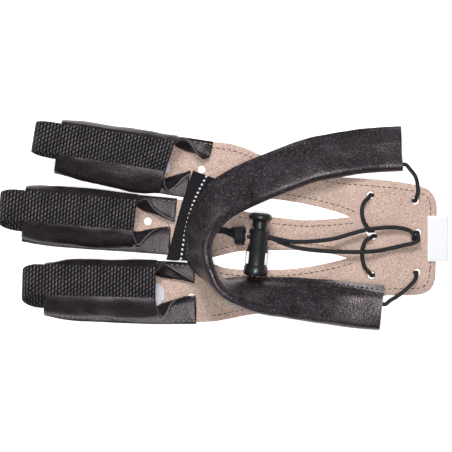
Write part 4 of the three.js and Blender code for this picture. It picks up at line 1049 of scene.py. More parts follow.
@dataclass(frozen=True)
class StitchRun:
    """A row of stitches of one thread; sizes in millimetres."""

    name: str
    lines: tuple[tuple[Vector, ...], ...]
    pitch: float
    length: float
    thickness: float
    finish: Finish

    @staticmethod
    def tree() -> bpy.types.NodeTree:
        """The node tree that lays one small capsule at each step of a line.

        Returns:
            The tree, made once.
        """
        name = "stitch_run"
        if name in bpy.data.node_groups:
            return bpy.data.node_groups[name]
        tree = bpy.data.node_groups.new(name, "GeometryNodeTree")
        face = tree.interface
        face.new_socket("Line", in_out="INPUT", socket_type="NodeSocketGeometry")
        for label in ("Pitch", "Length", "Thickness"):
            face.new_socket(label, in_out="INPUT", socket_type="NodeSocketFloat")
        face.new_socket("Thread", in_out="INPUT", socket_type="NodeSocketMaterial")
        face.new_socket("Stitches", in_out="OUTPUT", socket_type="NodeSocketGeometry")
        given = add_node(tree, "NodeGroupInput")
        even = add_node(tree, "GeometryNodeResampleCurve", {"mode": "LENGTH"}, {
            "Curve": given.outputs["Line"], "Length": given.outputs["Pitch"]})
        spots = add_node(tree, "GeometryNodeCurveToPoints", {"mode": "EVALUATED"}, {"Curve": even.outputs["Curve"]})
        capsule = add_node(tree, "GeometryNodeMeshUVSphere", inputs={"Segments": 6, "Rings": 5, "Radius": 0.5})
        uneven = add_node(tree, "FunctionNodeRandomValue", {"data_type": "FLOAT"}, {2: 0.82, 3: 1.12, "Seed": 7})
        long = add_node(tree, "ShaderNodeMath", {"operation": "MULTIPLY"}, {
            0: given.outputs["Length"], 1: uneven.outputs[1]})
        size = add_node(tree, "ShaderNodeCombineXYZ", inputs={
            0: given.outputs["Thickness"], 1: given.outputs["Thickness"], 2: long.outputs[0]})
        laid = add_node(tree, "GeometryNodeInstanceOnPoints", inputs={
            "Points": spots.outputs["Points"], "Instance": capsule.outputs["Mesh"],
            "Rotation": spots.outputs["Rotation"], "Scale": size.outputs[0]})
        real = add_node(tree, "GeometryNodeRealizeInstances", inputs={0: laid.outputs[0]})
        sewn = add_node(tree, "GeometryNodeSetMaterial", inputs={
            "Geometry": real.outputs[0], "Material": given.outputs["Thread"]})
        add_node(tree, "NodeGroupOutput", inputs={0: sewn.outputs[0]})
        return tree

    def build(self, palette: Palette) -> bpy.types.Object:
        """Lays the stitches and bakes them to one mesh.

        Args:
            palette: The materials.

        Returns:
            The stitches' mesh object.
        """
        curve = bpy.data.curves.new(self.name + "_line", "CURVE")
        curve.dimensions = "3D"
        for line in self.lines:
            spline = curve.splines.new("POLY")
            spline.points.add(len(line) - 1)
            for point, place in zip(spline.points, line):
                point.co = (*(place * MM), 1.0)
        holder = bpy.data.objects.new(self.name + "_line", curve)
        bpy.context.scene.collection.objects.link(holder)
        tree = self.tree()
        modifier = holder.modifiers.new("stitches", "NODES")
        modifier.node_group = tree
        values = {"Pitch": self.pitch * MM, "Length": self.length * MM, "Thickness": self.thickness * MM,
                  "Thread": palette.get(self.finish)}
        for item in tree.interface.items_tree:
            if item.item_type == "SOCKET" and item.in_out == "INPUT" and item.name in values:
                modifier[item.identifier] = values[item.name]
        holder.update_tag()
        bpy.context.view_layer.update()
        graph = bpy.context.evaluated_depsgraph_get()
        mesh = bpy.data.meshes.new_from_object(holder.evaluated_get(graph), depsgraph=graph)
        bpy.data.objects.remove(holder)
        bpy.data.curves.remove(curve)
        mesh.name = self.name
        piece = bpy.data.objects.new(self.name, mesh)
        bpy.context.scene.collection.objects.link(piece)
        piece.data.shade_smooth()
        return piece


@dataclass
class Studio:
    """White table, soft lights and a camera straight above."""

    millimetres_per_pixel: float = 0.48
    focal: float = 250.0
    sensor: float = 36.0
    centre: tuple[float, float, float] = (0.24, -0.144, 5.0)

    def build(self) -> None:
        """Makes the camera, the table and the lights."""
        scene = bpy.context.scene
        scene.view_settings.view_transform = "Standard"
        camera = bpy.data.cameras.new("camera")
        camera.lens, camera.sensor_width = self.focal, self.sensor
        camera.clip_start, camera.clip_end = 0.05, 10.0
        view = PIXELS * self.millimetres_per_pixel
        holder = bpy.data.objects.new("camera", camera)
        x, y, z = self.centre
        holder.location = Vector((x, y, z + view * self.focal / self.sensor)) * MM
        scene.collection.objects.link(holder)
        scene.camera = holder
        self.build_table()
        self.build_lights()

    def build_table(self) -> None:
        """Makes the pale table top."""
        table = make_object("table_top", [(-1500, -1500, 0), (1500, -1500, 0), (1500, 1500, 0), (-1500, 1500, 0)],
                            [(0, 1, 2, 3)])
        made, tree = new_material("white_paper")
        add_surface(tree, {
            "Base Color": srgb("#ffffff"), "Roughness": 1.0, "Specular IOR Level": 0.0,
            "Emission Color": srgb("#ffffff"), "Emission Strength": 0.6})
        table.data.materials.append(made)

    def build_lights(self) -> None:
        """Makes the sky and the soft boxes."""
        world = bpy.data.worlds.new("studio")
        world.use_nodes = True
        back = world.node_tree.nodes["Background"]
        back.inputs["Color"].default_value = (1, 1, 1, 1)
        back.inputs["Strength"].default_value = 0.12
        bpy.context.scene.world = world
        self.add_light("key", (-40, 600, 600), 300, 6.4, False)
        self.add_light("overhead", (10, -40, 900), 150, 3.2, True)
        self.add_light("window", (-30, -330, 850), 200, 1.2, True)
        self.add_light("fill", (-200, -640, 400), 300, 0.5, False)

    def add_light(self, name: str, place: tuple[float, float, float], size: float, power: float,
                  shines: bool) -> None:
        """Adds a soft box that faces the glove.

        Args:
            name: Its name.
            place: Its place in millimetres.
            size: Its side in millimetres.
            power: Its power in watts.
            shines: Whether it shows as a highlight.
        """
        light = bpy.data.lights.new(name, "AREA")
        light.size, light.energy = size * MM, power
        holder = bpy.data.objects.new(name, light)
        holder.location = Vector(place) * MM
        holder.rotation_euler = (-Vector(place)).to_track_quat("-Z", "Y").to_euler()
        holder.visible_glossy = shines
        bpy.context.scene.collection.objects.link(holder)


@dataclass(frozen=True)
class SleeveFrame:
    """One station of the wrist sleeve: its middle, and the ways along, across and out of it."""

    middle: Vector
    heading: Vector
    across: Vector
    out: Vector
    lane: float

    @property
    def span(self) -> float:
        """Width from the seam edge to the middle of the fold."""
        return SLEEVE_WIDTH - SLEEVE_DEPTH / 2

    def at(self, w: float, n: float) -> Vector:
        """The point w from the seam edge and n out of the middle surface."""
        return self.middle + self.across * (w - self.span / 2) + self.out * n

    def moved(self, length: float) -> SleeveFrame:
        """The same station further along."""
        return SleeveFrame(self.middle + self.heading * length, self.heading, self.across, self.out, self.lane)


def sleeve_frames(steps: int = 1) -> list[SleeveFrame]:
    """Stations along the wrist sleeve, with steps of them to each row of its table.

    Args:
        steps: Stations to each row.

    Returns:
        The stations.
    """
    span = SLEEVE_WIDTH - SLEEVE_DEPTH / 2
    points = []
    for row in SLEEVE_ROWS:
        seam = SEAM_DEPTH / 2 + row.rest * (PANEL_WALL + GAP)
        points.append(spot(row).to_3d() + Vector((0, 0, seam + span * math.sin(math.radians(row.roll)) / 2)))
    last = len(points) - 1
    frames = []
    for i in range(last * steps + 1):
        k = i / steps
        ahead, behind = centripetal(points, min(k + 0.01, last)), centripetal(points, max(k - 0.01, 0))
        heading = (ahead - behind).to_2d().normalized().to_3d()
        roll = math.radians(column(SLEEVE_ROWS, "", "roll", k))
        inward, up = Vector((-heading.y, heading.x, 0)), Vector((0, 0, 1))
        across = inward * math.cos(roll) + up * math.sin(roll)
        out = -inward * math.sin(roll) + up * math.cos(roll)
        lane = column(SLEEVE_ROWS, "", "lane", k)
        frames.append(SleeveFrame(centripetal(points, k), heading, across, out, lane))
    return frames


@dataclass
class Drawcord:
    """The elastic cord, its knot and its tails."""

    step: float = 0.9
    sides: int = 12
    knot_face: float = 10.0
    knot_y: float = -4.9
    knot_radius: float = 4.6

    @staticmethod
    def tube(name: str, path: Sequence[Vector], radii: Sequence[float], sides: int) -> bpy.types.Object:
        """Closed tube along a path, with a UV map along and round it.

        Args:
            name: Its name.
            path: Points it follows, in millimetres.
            radii: Radius at each point.
            sides: Points round it.

        Returns:
            The tube.
        """
        points, values = [], []
        heading = (path[1] - path[0]).normalized()
        side = heading.orthogonal().normalized()
        run = 0.0
        for i, place in enumerate(path):
            ahead = (path[min(i + 1, len(path) - 1)] - path[max(i - 1, 0)]).normalized()
            side = (side - ahead * side.dot(ahead)).normalized()
            other = ahead.cross(side)
            run += (place - path[i - 1]).length if i else 0.0
            for j in range(sides):
                turn = math.tau * j / sides
                points.append(place + (side * math.cos(turn) + other * math.sin(turn)) * radii[i])
                values.append((run, math.pi * CORD_DIAMETER * abs(1 - 2 * j / sides)))
        faces = grid_faces(len(path), sides, closed=True)
        for ring, flip in ((0, True), (len(path) - 1, False)):
            rim = [ring * sides + j for j in range(sides)]
            faces.append(tuple(reversed(rim)) if flip else tuple(rim))
        piece = make_object(name, points, faces)
        set_uv(piece, values)
        outward(piece)
        smooth(piece, 50)
        return piece

    @staticmethod
    def through_hole(entry: tuple[str, int], before: Vector, after: Vector) -> list[Vector]:
        """Four points that take the cord through a lacing hole.

        Args:
            entry: Name and number of the hole.
            before: The place before it.
            after: The place after it.

        Returns:
            The points, in the cord's order.
        """
        place = spot(LACING[entry[0]][entry[1]])
        base = lift(place.x, place.y)
        levels = [base + PANEL_WALL + CORD_LIE, base + PANEL_WALL, base, base - CORD_LIE]
        heights = levels if before.z > after.z else levels[::-1]
        reaches = ((before, PASS_REACH), (before, PASS_LEAN), (after, PASS_LEAN), (after, PASS_REACH))
        points = []
        for (other, reach), height in zip(reaches, heights):
            flat = place + (other.to_2d() - place).normalized() * reach
            points.append(Vector((flat.x, flat.y, max(height, CORD_DIAMETER / 2 + 0.1))))
        return points

    def route(self) -> list[Vector]:
        """Points that the whole cord passes through, in millimetres.

        Returns:
            The points.
        """
        frames = sleeve_frames()
        entries: list[Any] = []
        for entry in CORD_ROUTE:
            if entry == "sleeve":
                lane = [frames[-1].moved(1.5), *frames[::-1][::2], frames[0].moved(-1.5)]
                entries += [frame.at(frame.lane * frame.span, 0) for frame in lane]
            elif isinstance(entry[0], str):
                entries.append(entry)
            else:
                entries.append(Vector(entry))
        places = [
            entry if isinstance(entry, Vector) else spot(LACING[entry[0]][entry[1]]).to_3d() + Vector((0, 0, 3))
            for entry in entries
        ]
        points: list[Vector] = []
        for i, entry in enumerate(entries):
            if isinstance(entry, Vector):
                points.append(entry)
            else:
                points += self.through_hole(entry, places[i - 1], places[i + 1])
        return points

    def line(self) -> list[Vector]:
        """The cord's centreline at even small steps.

        Returns:
            The points, in millimetres.
        """
        points = [Vector((p.x, p.y, max(p.z, CORD_DIAMETER / 2 + 0.15))) for p in self.route()]
        path = []
        for i in range(len(points) - 1):
            pieces = max(1, round((points[i + 1] - points[i]).length / self.step))
            path += [centripetal(points, i + n / pieces) for n in range(pieces)]
        for point in path:
            point.z = max(point.z, CORD_DIAMETER / 2 + 0.05)
        return [*path, points[-1]]

    def build(self, palette: Palette) -> None:
        """Args:
            palette: The materials.
        """
        path = self.line()
        cord = self.tube("elastic_drawcord", path, [CORD_DIAMETER / 2] * len(path), self.sides)
        palette.dress(cord, Finish.CORD)
        knot = self.build_knot()
        palette.dress(knot, Finish.CORD)
        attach(cord, "glove")
        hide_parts("drawcord")
        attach(knot, "glove")
        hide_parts("cord_knot")

    def build_knot(self) -> bpy.types.Object:
        """Three wraps round the joined ends, a turned-back bight, and two tapering tails.

        Returns:
            The knot, one mesh object.
        """
        level = PANEL_WALL + GAP + self.knot_radius
        face = self.knot_face
        wraps = []
        steps = 72
        for i in range(steps + 1):
            turn = math.tau * 3 * i / steps
            swell = 1 + 0.05 * math.sin(turn / 3)
            wraps.append(Vector((face - 1.15 - 3.9 * i / steps, self.knot_y + 3.45 * swell * math.sin(turn + 0.6),
                                 level + 3.3 * swell * math.cos(turn + 0.6))))
        pieces = [self.tube("wraps", wraps, [1.08] * len(wraps), 10)]
        core = [Vector((face - back, self.knot_y + aside, level)) for back, aside in (
            (0.4, 0.0), (2.8, 0.0), (5.2, 0.2))]
        pieces.append(self.tube("core", core, [2.5, 2.9, 2.3], 10))
        bight = [Vector((face - back, self.knot_y + aside, level + rise)) for back, aside, rise in (
            (4.2, 1.6, 1.8), (5.6, 3.1, 1.1), (6.6, 2.6, -0.2), (6.2, 0.9, -0.6))]
        bent = [centripetal(bight, k / 6) for k in range(19)]
        pieces.append(self.tube("bight", bent, [1.1] * len(bent), 10))
        for shift, side, thick in ((0.9, 1, 1.5), (-0.9, -1, 1.25)):
            marks = [Vector((face - 4.4, self.knot_y + shift * 0.9, level + 0.3)),
                     Vector((face - 7.2, self.knot_y + 1.2 + shift * 0.8, level - 1.2)),
                     Vector((face - 10.6, self.knot_y + 2.4 + shift * 0.7, level - 2.7)),
                     Vector((face - 14.0, self.knot_y + 2.9 + shift, level - 3.4))]
            tail = [centripetal(marks, k / 8) for k in range(25)]
            radii = [thick + (0.72 - thick) * (k / 24) ** 0.8 for k in range(25)]
            pieces.append(self.tube(f"tail_{side}", tail, radii, 10))
        return join("cord_knot_wraps", pieces)


def join(name: str, pieces: Sequence[bpy.types.Object]) -> bpy.types.Object:
    """Joins meshes with the same UV map into the first and names it.

    Args:
        name: Name of the whole.
        pieces: The mesh objects, which are removed.

    Returns:
        The whole.
    """
    shell = bmesh.new()
    for piece in pieces:
        shell.from_mesh(piece.data)
    mesh = bpy.data.meshes.new(name)
    shell.to_mesh(mesh)
    shell.free()
    for piece in pieces:
        bpy.data.objects.remove(piece)
    whole = bpy.data.objects.new(name, mesh)
    bpy.context.scene.collection.objects.link(whole)
    smooth(whole, 50)
    return whole


def on_finger(finger: Finger, s: float, t: float, z: float) -> Vector:
    """A place on a finger: s from its tip toward the wrist, t across it toward +Y.

    Args:
        finger: The finger.
        s: Millimetres from its tip.
        t: Millimetres across.
        z: Height.

    Returns:
        The place.
    """
    turn, tip = math.radians(finger.angle), spot(finger)
    return Vector((tip.x + s * math.cos(turn) - t * math.sin(turn), tip.y + s * math.sin(turn) + t * math.cos(turn), z))


def half_width(finger: Finger, s: float) -> float:
    """Half of a stall's width at its foot."""
    return column(finger.body, "s", "half", s / STALL_LENGTH) * STALL_WIDTH / 2


@dataclass
class PalmPanel:
    """The suede panel: three finger strips, two slots and the lacing holes."""

    spacing: float = 2.2
    inset: float = 3.0

    @staticmethod
    def strip_edge(finger: Finger, side: int, shares: Sequence[float]) -> list[Vector]:
        """Edge of one finger strip, just inside the stall's foot.

        Args:
            finger: The finger.
            side: 1 toward +Y, -1 toward -Y.
            shares: Shares of the stall's length.

        Returns:
            The edge's points.
        """
        points = []
        for share in shares:
            s = share * STALL_LENGTH + (STRIP_INSET if share == 0 else 0)
            half = half_width(finger, share * STALL_LENGTH) - STRIP_INSET
            points.append(on_finger(finger, s, side * half, 0).to_2d())
        return points

    def outline(self) -> list[Vector]:
        """The panel's whole edge, once round.

        Returns:
            The edge's points.
        """
        shares = (0, 0.1, 0.2, 0.35, 0.5, 0.65, 0.8, 0.95, 1.1, 1.25)
        upper, middle, lower = FINGERS
        back = shares[::-1]
        return [
            *self.strip_edge(upper, 1, shares), *smooth_run(UPPER_EDGE, 6), *smooth_run(LOWER_EDGE, 6),
            *self.strip_edge(lower, -1, back), *self.strip_edge(lower, 1, shares),
            *smooth_run(LOWER_SLOT_NEAR, 6), *smooth_run(LOWER_SLOT_FAR, 6)[1:],
            *self.strip_edge(middle, -1, back), *self.strip_edge(middle, 1, shares),
            *smooth_run(UPPER_SLOT_NEAR, 6), *smooth_run(UPPER_SLOT_FAR, 6)[1:],
            *self.strip_edge(upper, -1, back),
        ]

    @staticmethod
    def hole(places: Sequence[Place], diameter: float) -> list[Vector]:
        """Round-ended hole through one or two places.

        Args:
            places: One place, or the two ends.
            diameter: Its width.

        Returns:
            Its edge's points.
        """
        a, b = spot(places[0]), spot(places[-1])
        heading = math.atan2(b.y - a.y, b.x - a.x)
        points = []
        for centre, start in ((b, heading - math.pi / 2), (a, heading + math.pi / 2)):
            for i in range(12):
                turn = start + math.pi * i / 11
                points.append(centre + Vector((math.cos(turn), math.sin(turn))) * diameter / 2)
        return points[:-1] if a == b else points

    @staticmethod
    def inside(points: np.ndarray, loop: np.ndarray) -> np.ndarray:
        """Which points lie inside a closed loop.

        Args:
            points: The points.
            loop: The loop's corners.

        Returns:
            True for each point inside.
        """
        found = np.zeros(len(points), dtype=bool)
        for a, b in zip(loop, np.roll(loop, -1, axis=0)):
            crosses = (a[1] > points[:, 1]) != (b[1] > points[:, 1])
            with np.errstate(divide="ignore", invalid="ignore"):
                where = (b[0] - a[0]) * (points[:, 1] - a[1]) / (b[1] - a[1]) + a[0]
            found ^= crosses & (points[:, 0] < where)
        return found

    @staticmethod
    def distance(points: np.ndarray, loop: np.ndarray) -> np.ndarray:
        """Distance from each point to a closed loop.

        Args:
            points: The points.
            loop: The loop's corners.

        Returns:
            The distances.
        """
        best = np.full(len(points), 1e9)
        for a, b in zip(loop, np.roll(loop, -1, axis=0)):
            way = b - a
            k = np.clip(((points - a) @ way) / max(way @ way, 1e-9), 0, 1)
            best = np.minimum(best, np.linalg.norm(points - a - k[:, None] * way, axis=1))
        return best

    def build(self, palette: Palette) -> None:
        """Makes the panel and its stitched line.

        Args:
            palette: The materials.
        """
        outline = self.outline()
        holes = [self.hole([place], BASE_HOLE) for place in BASE_HOLES]
        holes += [self.hole(places, LACE_HOLE) for places in LACING.values()]
        loops = [np.array([tuple(p) for p in loop]) for loop in (outline, *holes)]
        low, high = loops[0].min(axis=0), loops[0].max(axis=0)
        rows = np.arange(low[1], high[1], self.spacing * 0.87)
        field = np.array([
            (x + (self.spacing / 2 if i % 2 else 0), y)
            for i, y in enumerate(rows) for x in np.arange(low[0], high[0], self.spacing)
        ])
        keep = self.inside(field, loops[0])
        for loop in loops[1:]:
            keep &= ~self.inside(field, loop)
        for loop in loops:
            keep &= self.distance(field, loop) > self.spacing * 0.45
        field = field[keep]
        flat = [Vector(p) for loop in loops for p in loop] + [Vector(p) for p in field]
        edges, start = [], 0
        for loop in loops:
            edges += [(start + i, start + (i + 1) % len(loop)) for i in range(len(loop))]
            start += len(loop)
        made = geometry.delaunay_2d_cdt(flat, edges, [], 0, 1e-5)
        points = np.array([tuple(p) for p in made[0]])
        faces = np.array(made[2])
        middles = points[faces].mean(axis=1)
        inside = self.inside(middles, loops[0])
        for loop in loops[1:]:
            inside &= ~self.inside(middles, loop)
        places = [(x, y, lift(x, y) + PANEL_WALL / 2) for x, y in points]
        panel = make_object("suede_palm_panel", places, [tuple(int(i) for i in f) for f in faces[inside]])
        loose = bmesh.new()
        loose.from_mesh(panel.data)
        bmesh.ops.delete(loose, geom=[v for v in loose.verts if not v.link_faces], context="VERTS")
        loose.to_mesh(panel.data)
        loose.free()
        palette.dress(panel, Finish.SUEDE)
        close_shell(panel, PANEL_WALL, 0.4)
        smooth(panel, 45)
        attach(panel, "glove")
        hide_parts("palm_panel")
        self.build_stitches(palette)
        log.info("palm panel: %d faces", len(panel.data.polygons))

    def build_stitches(self, palette: Palette) -> None:
        """Sews the line that runs a little inside the panel's free edges.

        Args:
            palette: The materials.
        """
        lines = []
        for rows in (UPPER_EDGE, LOWER_EDGE, LOWER_SLOT_NEAR, LOWER_SLOT_FAR, UPPER_SLOT_NEAR, UPPER_SLOT_FAR):
            run = smooth_run(rows, 8)
            line = []
            for i, place in enumerate(run):
                way = (run[min(i + 1, len(run) - 1)] - run[max(i - 1, 0)]).normalized()
                flat = place + Vector((way.y, -way.x)) * self.inset
                line.append(Vector((flat.x, flat.y, lift(flat.x, flat.y) + PANEL_WALL + 0.02)))
            lines.append(tuple(line))
        right = spot(UPPER_EDGE[-1]).x - self.inset
        edge = [Vector((right, y, lift(right, y) + PANEL_WALL + 0.02)) for y in range(8, -21, -2)]
        lines.append(tuple(edge))
        sewn = StitchRun("panel_stitching", tuple(lines), 2.7, 2.0, 0.42, Finish.BROWN_THREAD).build(palette)
        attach(sewn, "glove")


@dataclass
class FingerStall:
    """One leather stall with its open wings and webbing."""

    finger: Finger
    body_rows: int = 44
    wing_rows: int = 30
    wall_columns: int = 16
    foot_columns: int = 4
    top_columns: int = 12

    @property
    def level(self) -> float:
        """Height of the leather's middle surface where it lies on the panel."""
        return PANEL_WALL + GAP + STALL_WALL / 2

    def side(self, side: int, half: float, root: float, belly: tuple[float, float],
             top: tuple[float, float]) -> list[tuple[float, float]]:
        """Section from the foot up to the shoulder or free edge, as pairs of t and z.

        Args:
            side: 1 toward +Y, -1 toward -Y.
            half: Half width at the foot.
            root: Where the wall leaves the foot.
            belly: Share of its widest place.
            top: Share of its top.

        Returns:
            The section's pairs.
        """
        rise = STALL_HEIGHT - STALL_WALL
        p0 = (root, 0.0)
        p1 = (2 * belly[0] - (root + top[0]) / 2, (2 * belly[1] - top[1] / 2) * rise)
        p2 = (top[0], top[1] * rise)
        points = [(half + (root - half) * i / self.foot_columns, 0.0) for i in range(self.foot_columns)]
        for i in range(self.wall_columns + 1):
            k = i / self.wall_columns
            points.append(tuple((1 - k) ** 2 * a + 2 * k * (1 - k) * b + k * k * c for a, b, c in zip(p0, p1, p2)))
        return [(side * t, self.level + z) for t, z in points]

    def fraction(self, column_number: int) -> float:
        """How far up its side a column is, from 0 at the foot to 1 at the top.

        Args:
            column_number: The column.

        Returns:
            The share.
        """
        if column_number < self.foot_columns:
            return column_number / self.foot_columns / 3
        return 1 / 3 + 2 / 3 * (column_number - self.foot_columns) / self.wall_columns

    def section(self, s: float) -> list[tuple[float, float]]:
        """Whole section of the closed part of the stall.

        Args:
            s: Millimetres from the tip.

        Returns:
            The section's pairs of t and z.
        """
        share, unit = s / STALL_LENGTH, STALL_WIDTH / 2
        body = self.finger.body

        def at(key: str) -> float:
            """One column of the stall's table here."""
            return column(body, "s", key, share)

        half, rise = at("half") * unit, at("rise")
        mouth = max(0.0, (share - 0.86) / 0.14)

        def shoulder(own: tuple[float, float], wing: WingRow) -> tuple[float, float]:
            """Shoulder that turns into the wing's edge at the mouth."""
            return (own[0] + (wing.t - own[0]) * mouth) * unit, (own[1] + (wing.z - own[1]) * mouth) * rise

        up = shoulder(UPPER_SHOULDER, self.finger.wing_up[0])
        low = shoulder(LOWER_SHOULDER, self.finger.wing_low[0])
        upper = self.side(1, half, at("root_up") * unit, (UPPER_BELLY[0] * half, UPPER_BELLY[1] * rise), up)
        lower = self.side(-1, half, at("root_low") * unit, (at("belly_low") * half, LOWER_BELLY_RISE * rise), low)
        height = STALL_HEIGHT - STALL_WALL
        marks = [Vector((up[0], self.level + up[1] * height)),
                 Vector((CREST[0] * unit, self.level + CREST[1] * rise * height)),
                 Vector((-low[0], self.level + low[1] * height))]
        top = [marks[0]]
        for i in range(1, self.top_columns):
            k = 2 * i / self.top_columns
            n = min(int(k), 1)
            w = k - n
            p0, p1, p2, p3 = marks[max(n - 1, 0)], marks[n], marks[n + 1], marks[min(n + 2, 2)]
            top.append(hermite(w, p1, p2, (p2 - p0) / 2, (p3 - p1) / 2))
        return [*upper, *[(p.x, p.y) for p in top[1:]], *lower[::-1]]

    def wing(self, rows: Sequence[WingRow], foot: float, side: int) -> list[tuple[float, float]]:
        """Section of one wing at a share of its length.

        Args:
            rows: The wing's table.
            foot: Share of the wing's length.
            side: 1 toward +Y, -1 toward -Y.

        Returns:
            The section's pairs of t and z.
        """
        unit = STALL_WIDTH / 2
        root, t, z = (column(rows, "foot", key, foot) for key in ("root", "t", "z"))
        half = half_width(self.finger, STALL_LENGTH + foot * WING_LENGTH)
        belly = (((root + t) / 2 + WING_BELLY * (1 - foot) ** 2) * unit, z * 0.52)
        return self.side(side, half, root * unit, belly, (t * unit, z))

    def shell(self) -> bpy.types.Object:
        """The stall's leather on the middle of its wall.

        Returns:
            The sheet.
        """
        finger = self.finger
        points: list[Vector] = []
        faces: list[tuple[int, ...]] = []

        def add(s: float, t: float, z: float, fade: float) -> int:
            """Adds a point, pulled along where the mouth is cut on a slant."""
            points.append(on_finger(finger, s + finger.slant * t * fade, t, z))
            return len(points) - 1

        rows = []
        for i in range(self.body_rows + 1):
            share = i / self.body_rows
            rows.append([add(share * STALL_LENGTH, t, z, share**4) for t, z in self.section(share * STALL_LENGTH)])
        faces += grid_faces(len(rows), len(rows[0]))
        columns = self.foot_columns + self.wall_columns + 1
        wings = ((1, finger.wing_up, rows[-1][:columns]), (-1, finger.wing_low, rows[-1][-columns:][::-1]))
        for side, table, previous in wings:
            for i in range(1, self.wing_rows + 1):
                foot = table[-1].foot * i / self.wing_rows
                edge = column(table, "foot", "edge", foot)
                current = []
                for n, (t, z) in enumerate(self.wing(table, foot, side)):
                    k = foot + (edge - foot) * self.fraction(n) ** 2
                    current.append(add(STALL_LENGTH + k * WING_LENGTH, t, z, (1 - k) ** 3))
                for j in range(columns - 1):
                    quad = (previous[j], previous[j + 1], current[j + 1], current[j])
                    faces.append(quad if side > 0 else quad[::-1])
                previous = current
        return make_object(f"stall_{finger.name}_leather", points, faces)

    def seat(self, s: float, t: float) -> float:
        """Height at which webbing sits on the stall.

        Args:
            s: Millimetres from the tip.
            t: Millimetres across.

        Returns:
            The height.
        """
        section = self.section(min(max(s, 0.0), STALL_LENGTH))
        reach = min(t, section[self.foot_columns + self.wall_columns - 3][0] - GAP)
        gap = (STALL_WALL + ELASTIC_WALL) / 2 + 1.4 * GAP
        best = 0.0
        for (t0, z0), (t1, z1) in zip(section, section[1:]):
            if (t0 - reach) * (t1 - reach) <= 0 and t0 != t1:
                slope = (z1 - z0) / (t1 - t0)
                best = max(best, z0 + slope * (reach - t0) + gap * min(1.2, math.hypot(1, slope)))
        return best

    def webbing(self) -> bpy.types.Object:
        """The webbing over the stall, round the tip and back on the panel.

        Returns:
            The sheet.
        """
        finger = self.finger
        middle = finger.elastic * STALL_WIDTH / 2
        across = [(i / 12 - 0.5) * ELASTIC_WIDTH for i in range(13)]
        floor = PANEL_WALL + GAP + ELASTIC_WALL / 2
        rows: list[list[Vector]] = []
        for i in range(self.body_rows, -1, -1):
            share = i / self.body_rows
            s = share * STALL_LENGTH
            end = GAP if i == self.body_rows else 0.0
            row = []
            for w in across:
                t = middle + w
                row.append(on_finger(finger, s + finger.slant * t * share**4 - end, t, self.seat(s, t)))
            rows.append(row)
        tops = [self.seat(0.0, middle + w) for w in across]
        for i in range(1, 26):
            turn = i / 26
            fall = (1 - math.cos(math.pi * min(1.0, max(0.0, (turn - 0.08) / 0.84)))) / 2
            reach = -finger.reach * column(LOOP, "turn", "reach", turn)
            rows.append([on_finger(finger, reach, middle + w + finger.drift * fall, top + (floor - top) * fall)
                         for w, top in zip(across, tops)])
        for k in (0.0, 0.5, 1.0):
            rows.append([on_finger(finger, ELASTIC_TUCK * k, middle + w + finger.drift, floor) for w in across])
        values, run = [], 0.0
        for i, row in enumerate(rows):
            run += (row[6] - rows[i - 1][6]).length if i else 0.0
            values += [(run, w + ELASTIC_WIDTH / 2) for w in across]
        sheet = make_object(f"elastic_{finger.name}_webbing", [p for row in rows for p in row],
                            grid_faces(len(rows), len(across)))
        set_uv(sheet, values)
        return sheet

    def build(self, palette: Palette) -> None:
        """Makes the stall, its webbing and its stitches.

        Args:
            palette: The materials.
        """
        name = self.finger.name
        shell = self.shell()
        palette.dress(shell, Finish.STALL_LEATHER, Finish.CUT_EDGE)
        ruffle(shell, 0.45, (15.0, 6.0, 6.0), len(name))
        close_shell(shell, STALL_WALL, 0.16, rim=1, skived=0.6)
        smooth(shell, 50)
        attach(shell, "glove")
        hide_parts(f"stall_{name}")
        sheet = self.webbing()
        palette.dress(sheet, Finish.WEBBING)
        close_shell(sheet, ELASTIC_WALL, 0.4)
        smooth(sheet, 60)
        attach(sheet, "glove")
        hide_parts(f"elastic_{name}")
        self.build_stitches(palette)
        log.info("stall %s: %d faces", name, len(shell.data.polygons))

    def build_stitches(self, palette: Palette) -> None:
        """Sews the flanges to the panel and the webbing's end to the stall.

        Args:
            palette: The materials.
        """
        finger, lines = self.finger, []
        top = self.level + STALL_WALL / 2 + 0.02
        for side, table in ((1, finger.wing_up), (-1, finger.wing_low)):
            far = STALL_LENGTH + table[-1].foot * WING_LENGTH - 1.0
            line = []
            for i in range(40):
                s = 1.5 + (far - 1.5) * i / 39
                line.append(on_finger(finger, s, side * (half_width(finger, s) - 1.5), top))
            lines.append(tuple(line))
        sewn = StitchRun(
            f"flange_stitching_{finger.name}", tuple(lines), 2.45, 1.35, 0.5, Finish.PALE_THREAD).build(palette)
        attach(sewn, "glove")
        middle = finger.elastic * STALL_WIDTH / 2
        bar = []
        for i in range(13):
            t = middle + (i / 12 - 0.5) * (ELASTIC_WIDTH - 1.6)
            s = STALL_LENGTH - 2.6
            bar.append(on_finger(finger, s + finger.slant * t * 0.8, t, self.seat(s, t) + ELASTIC_WALL / 2))
        tack = StitchRun(
            f"webbing_tack_{finger.name}", (tuple(bar),), 1.9, 1.5, 0.5, Finish.BLACK_THREAD).build(palette)
        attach(tack, "glove")


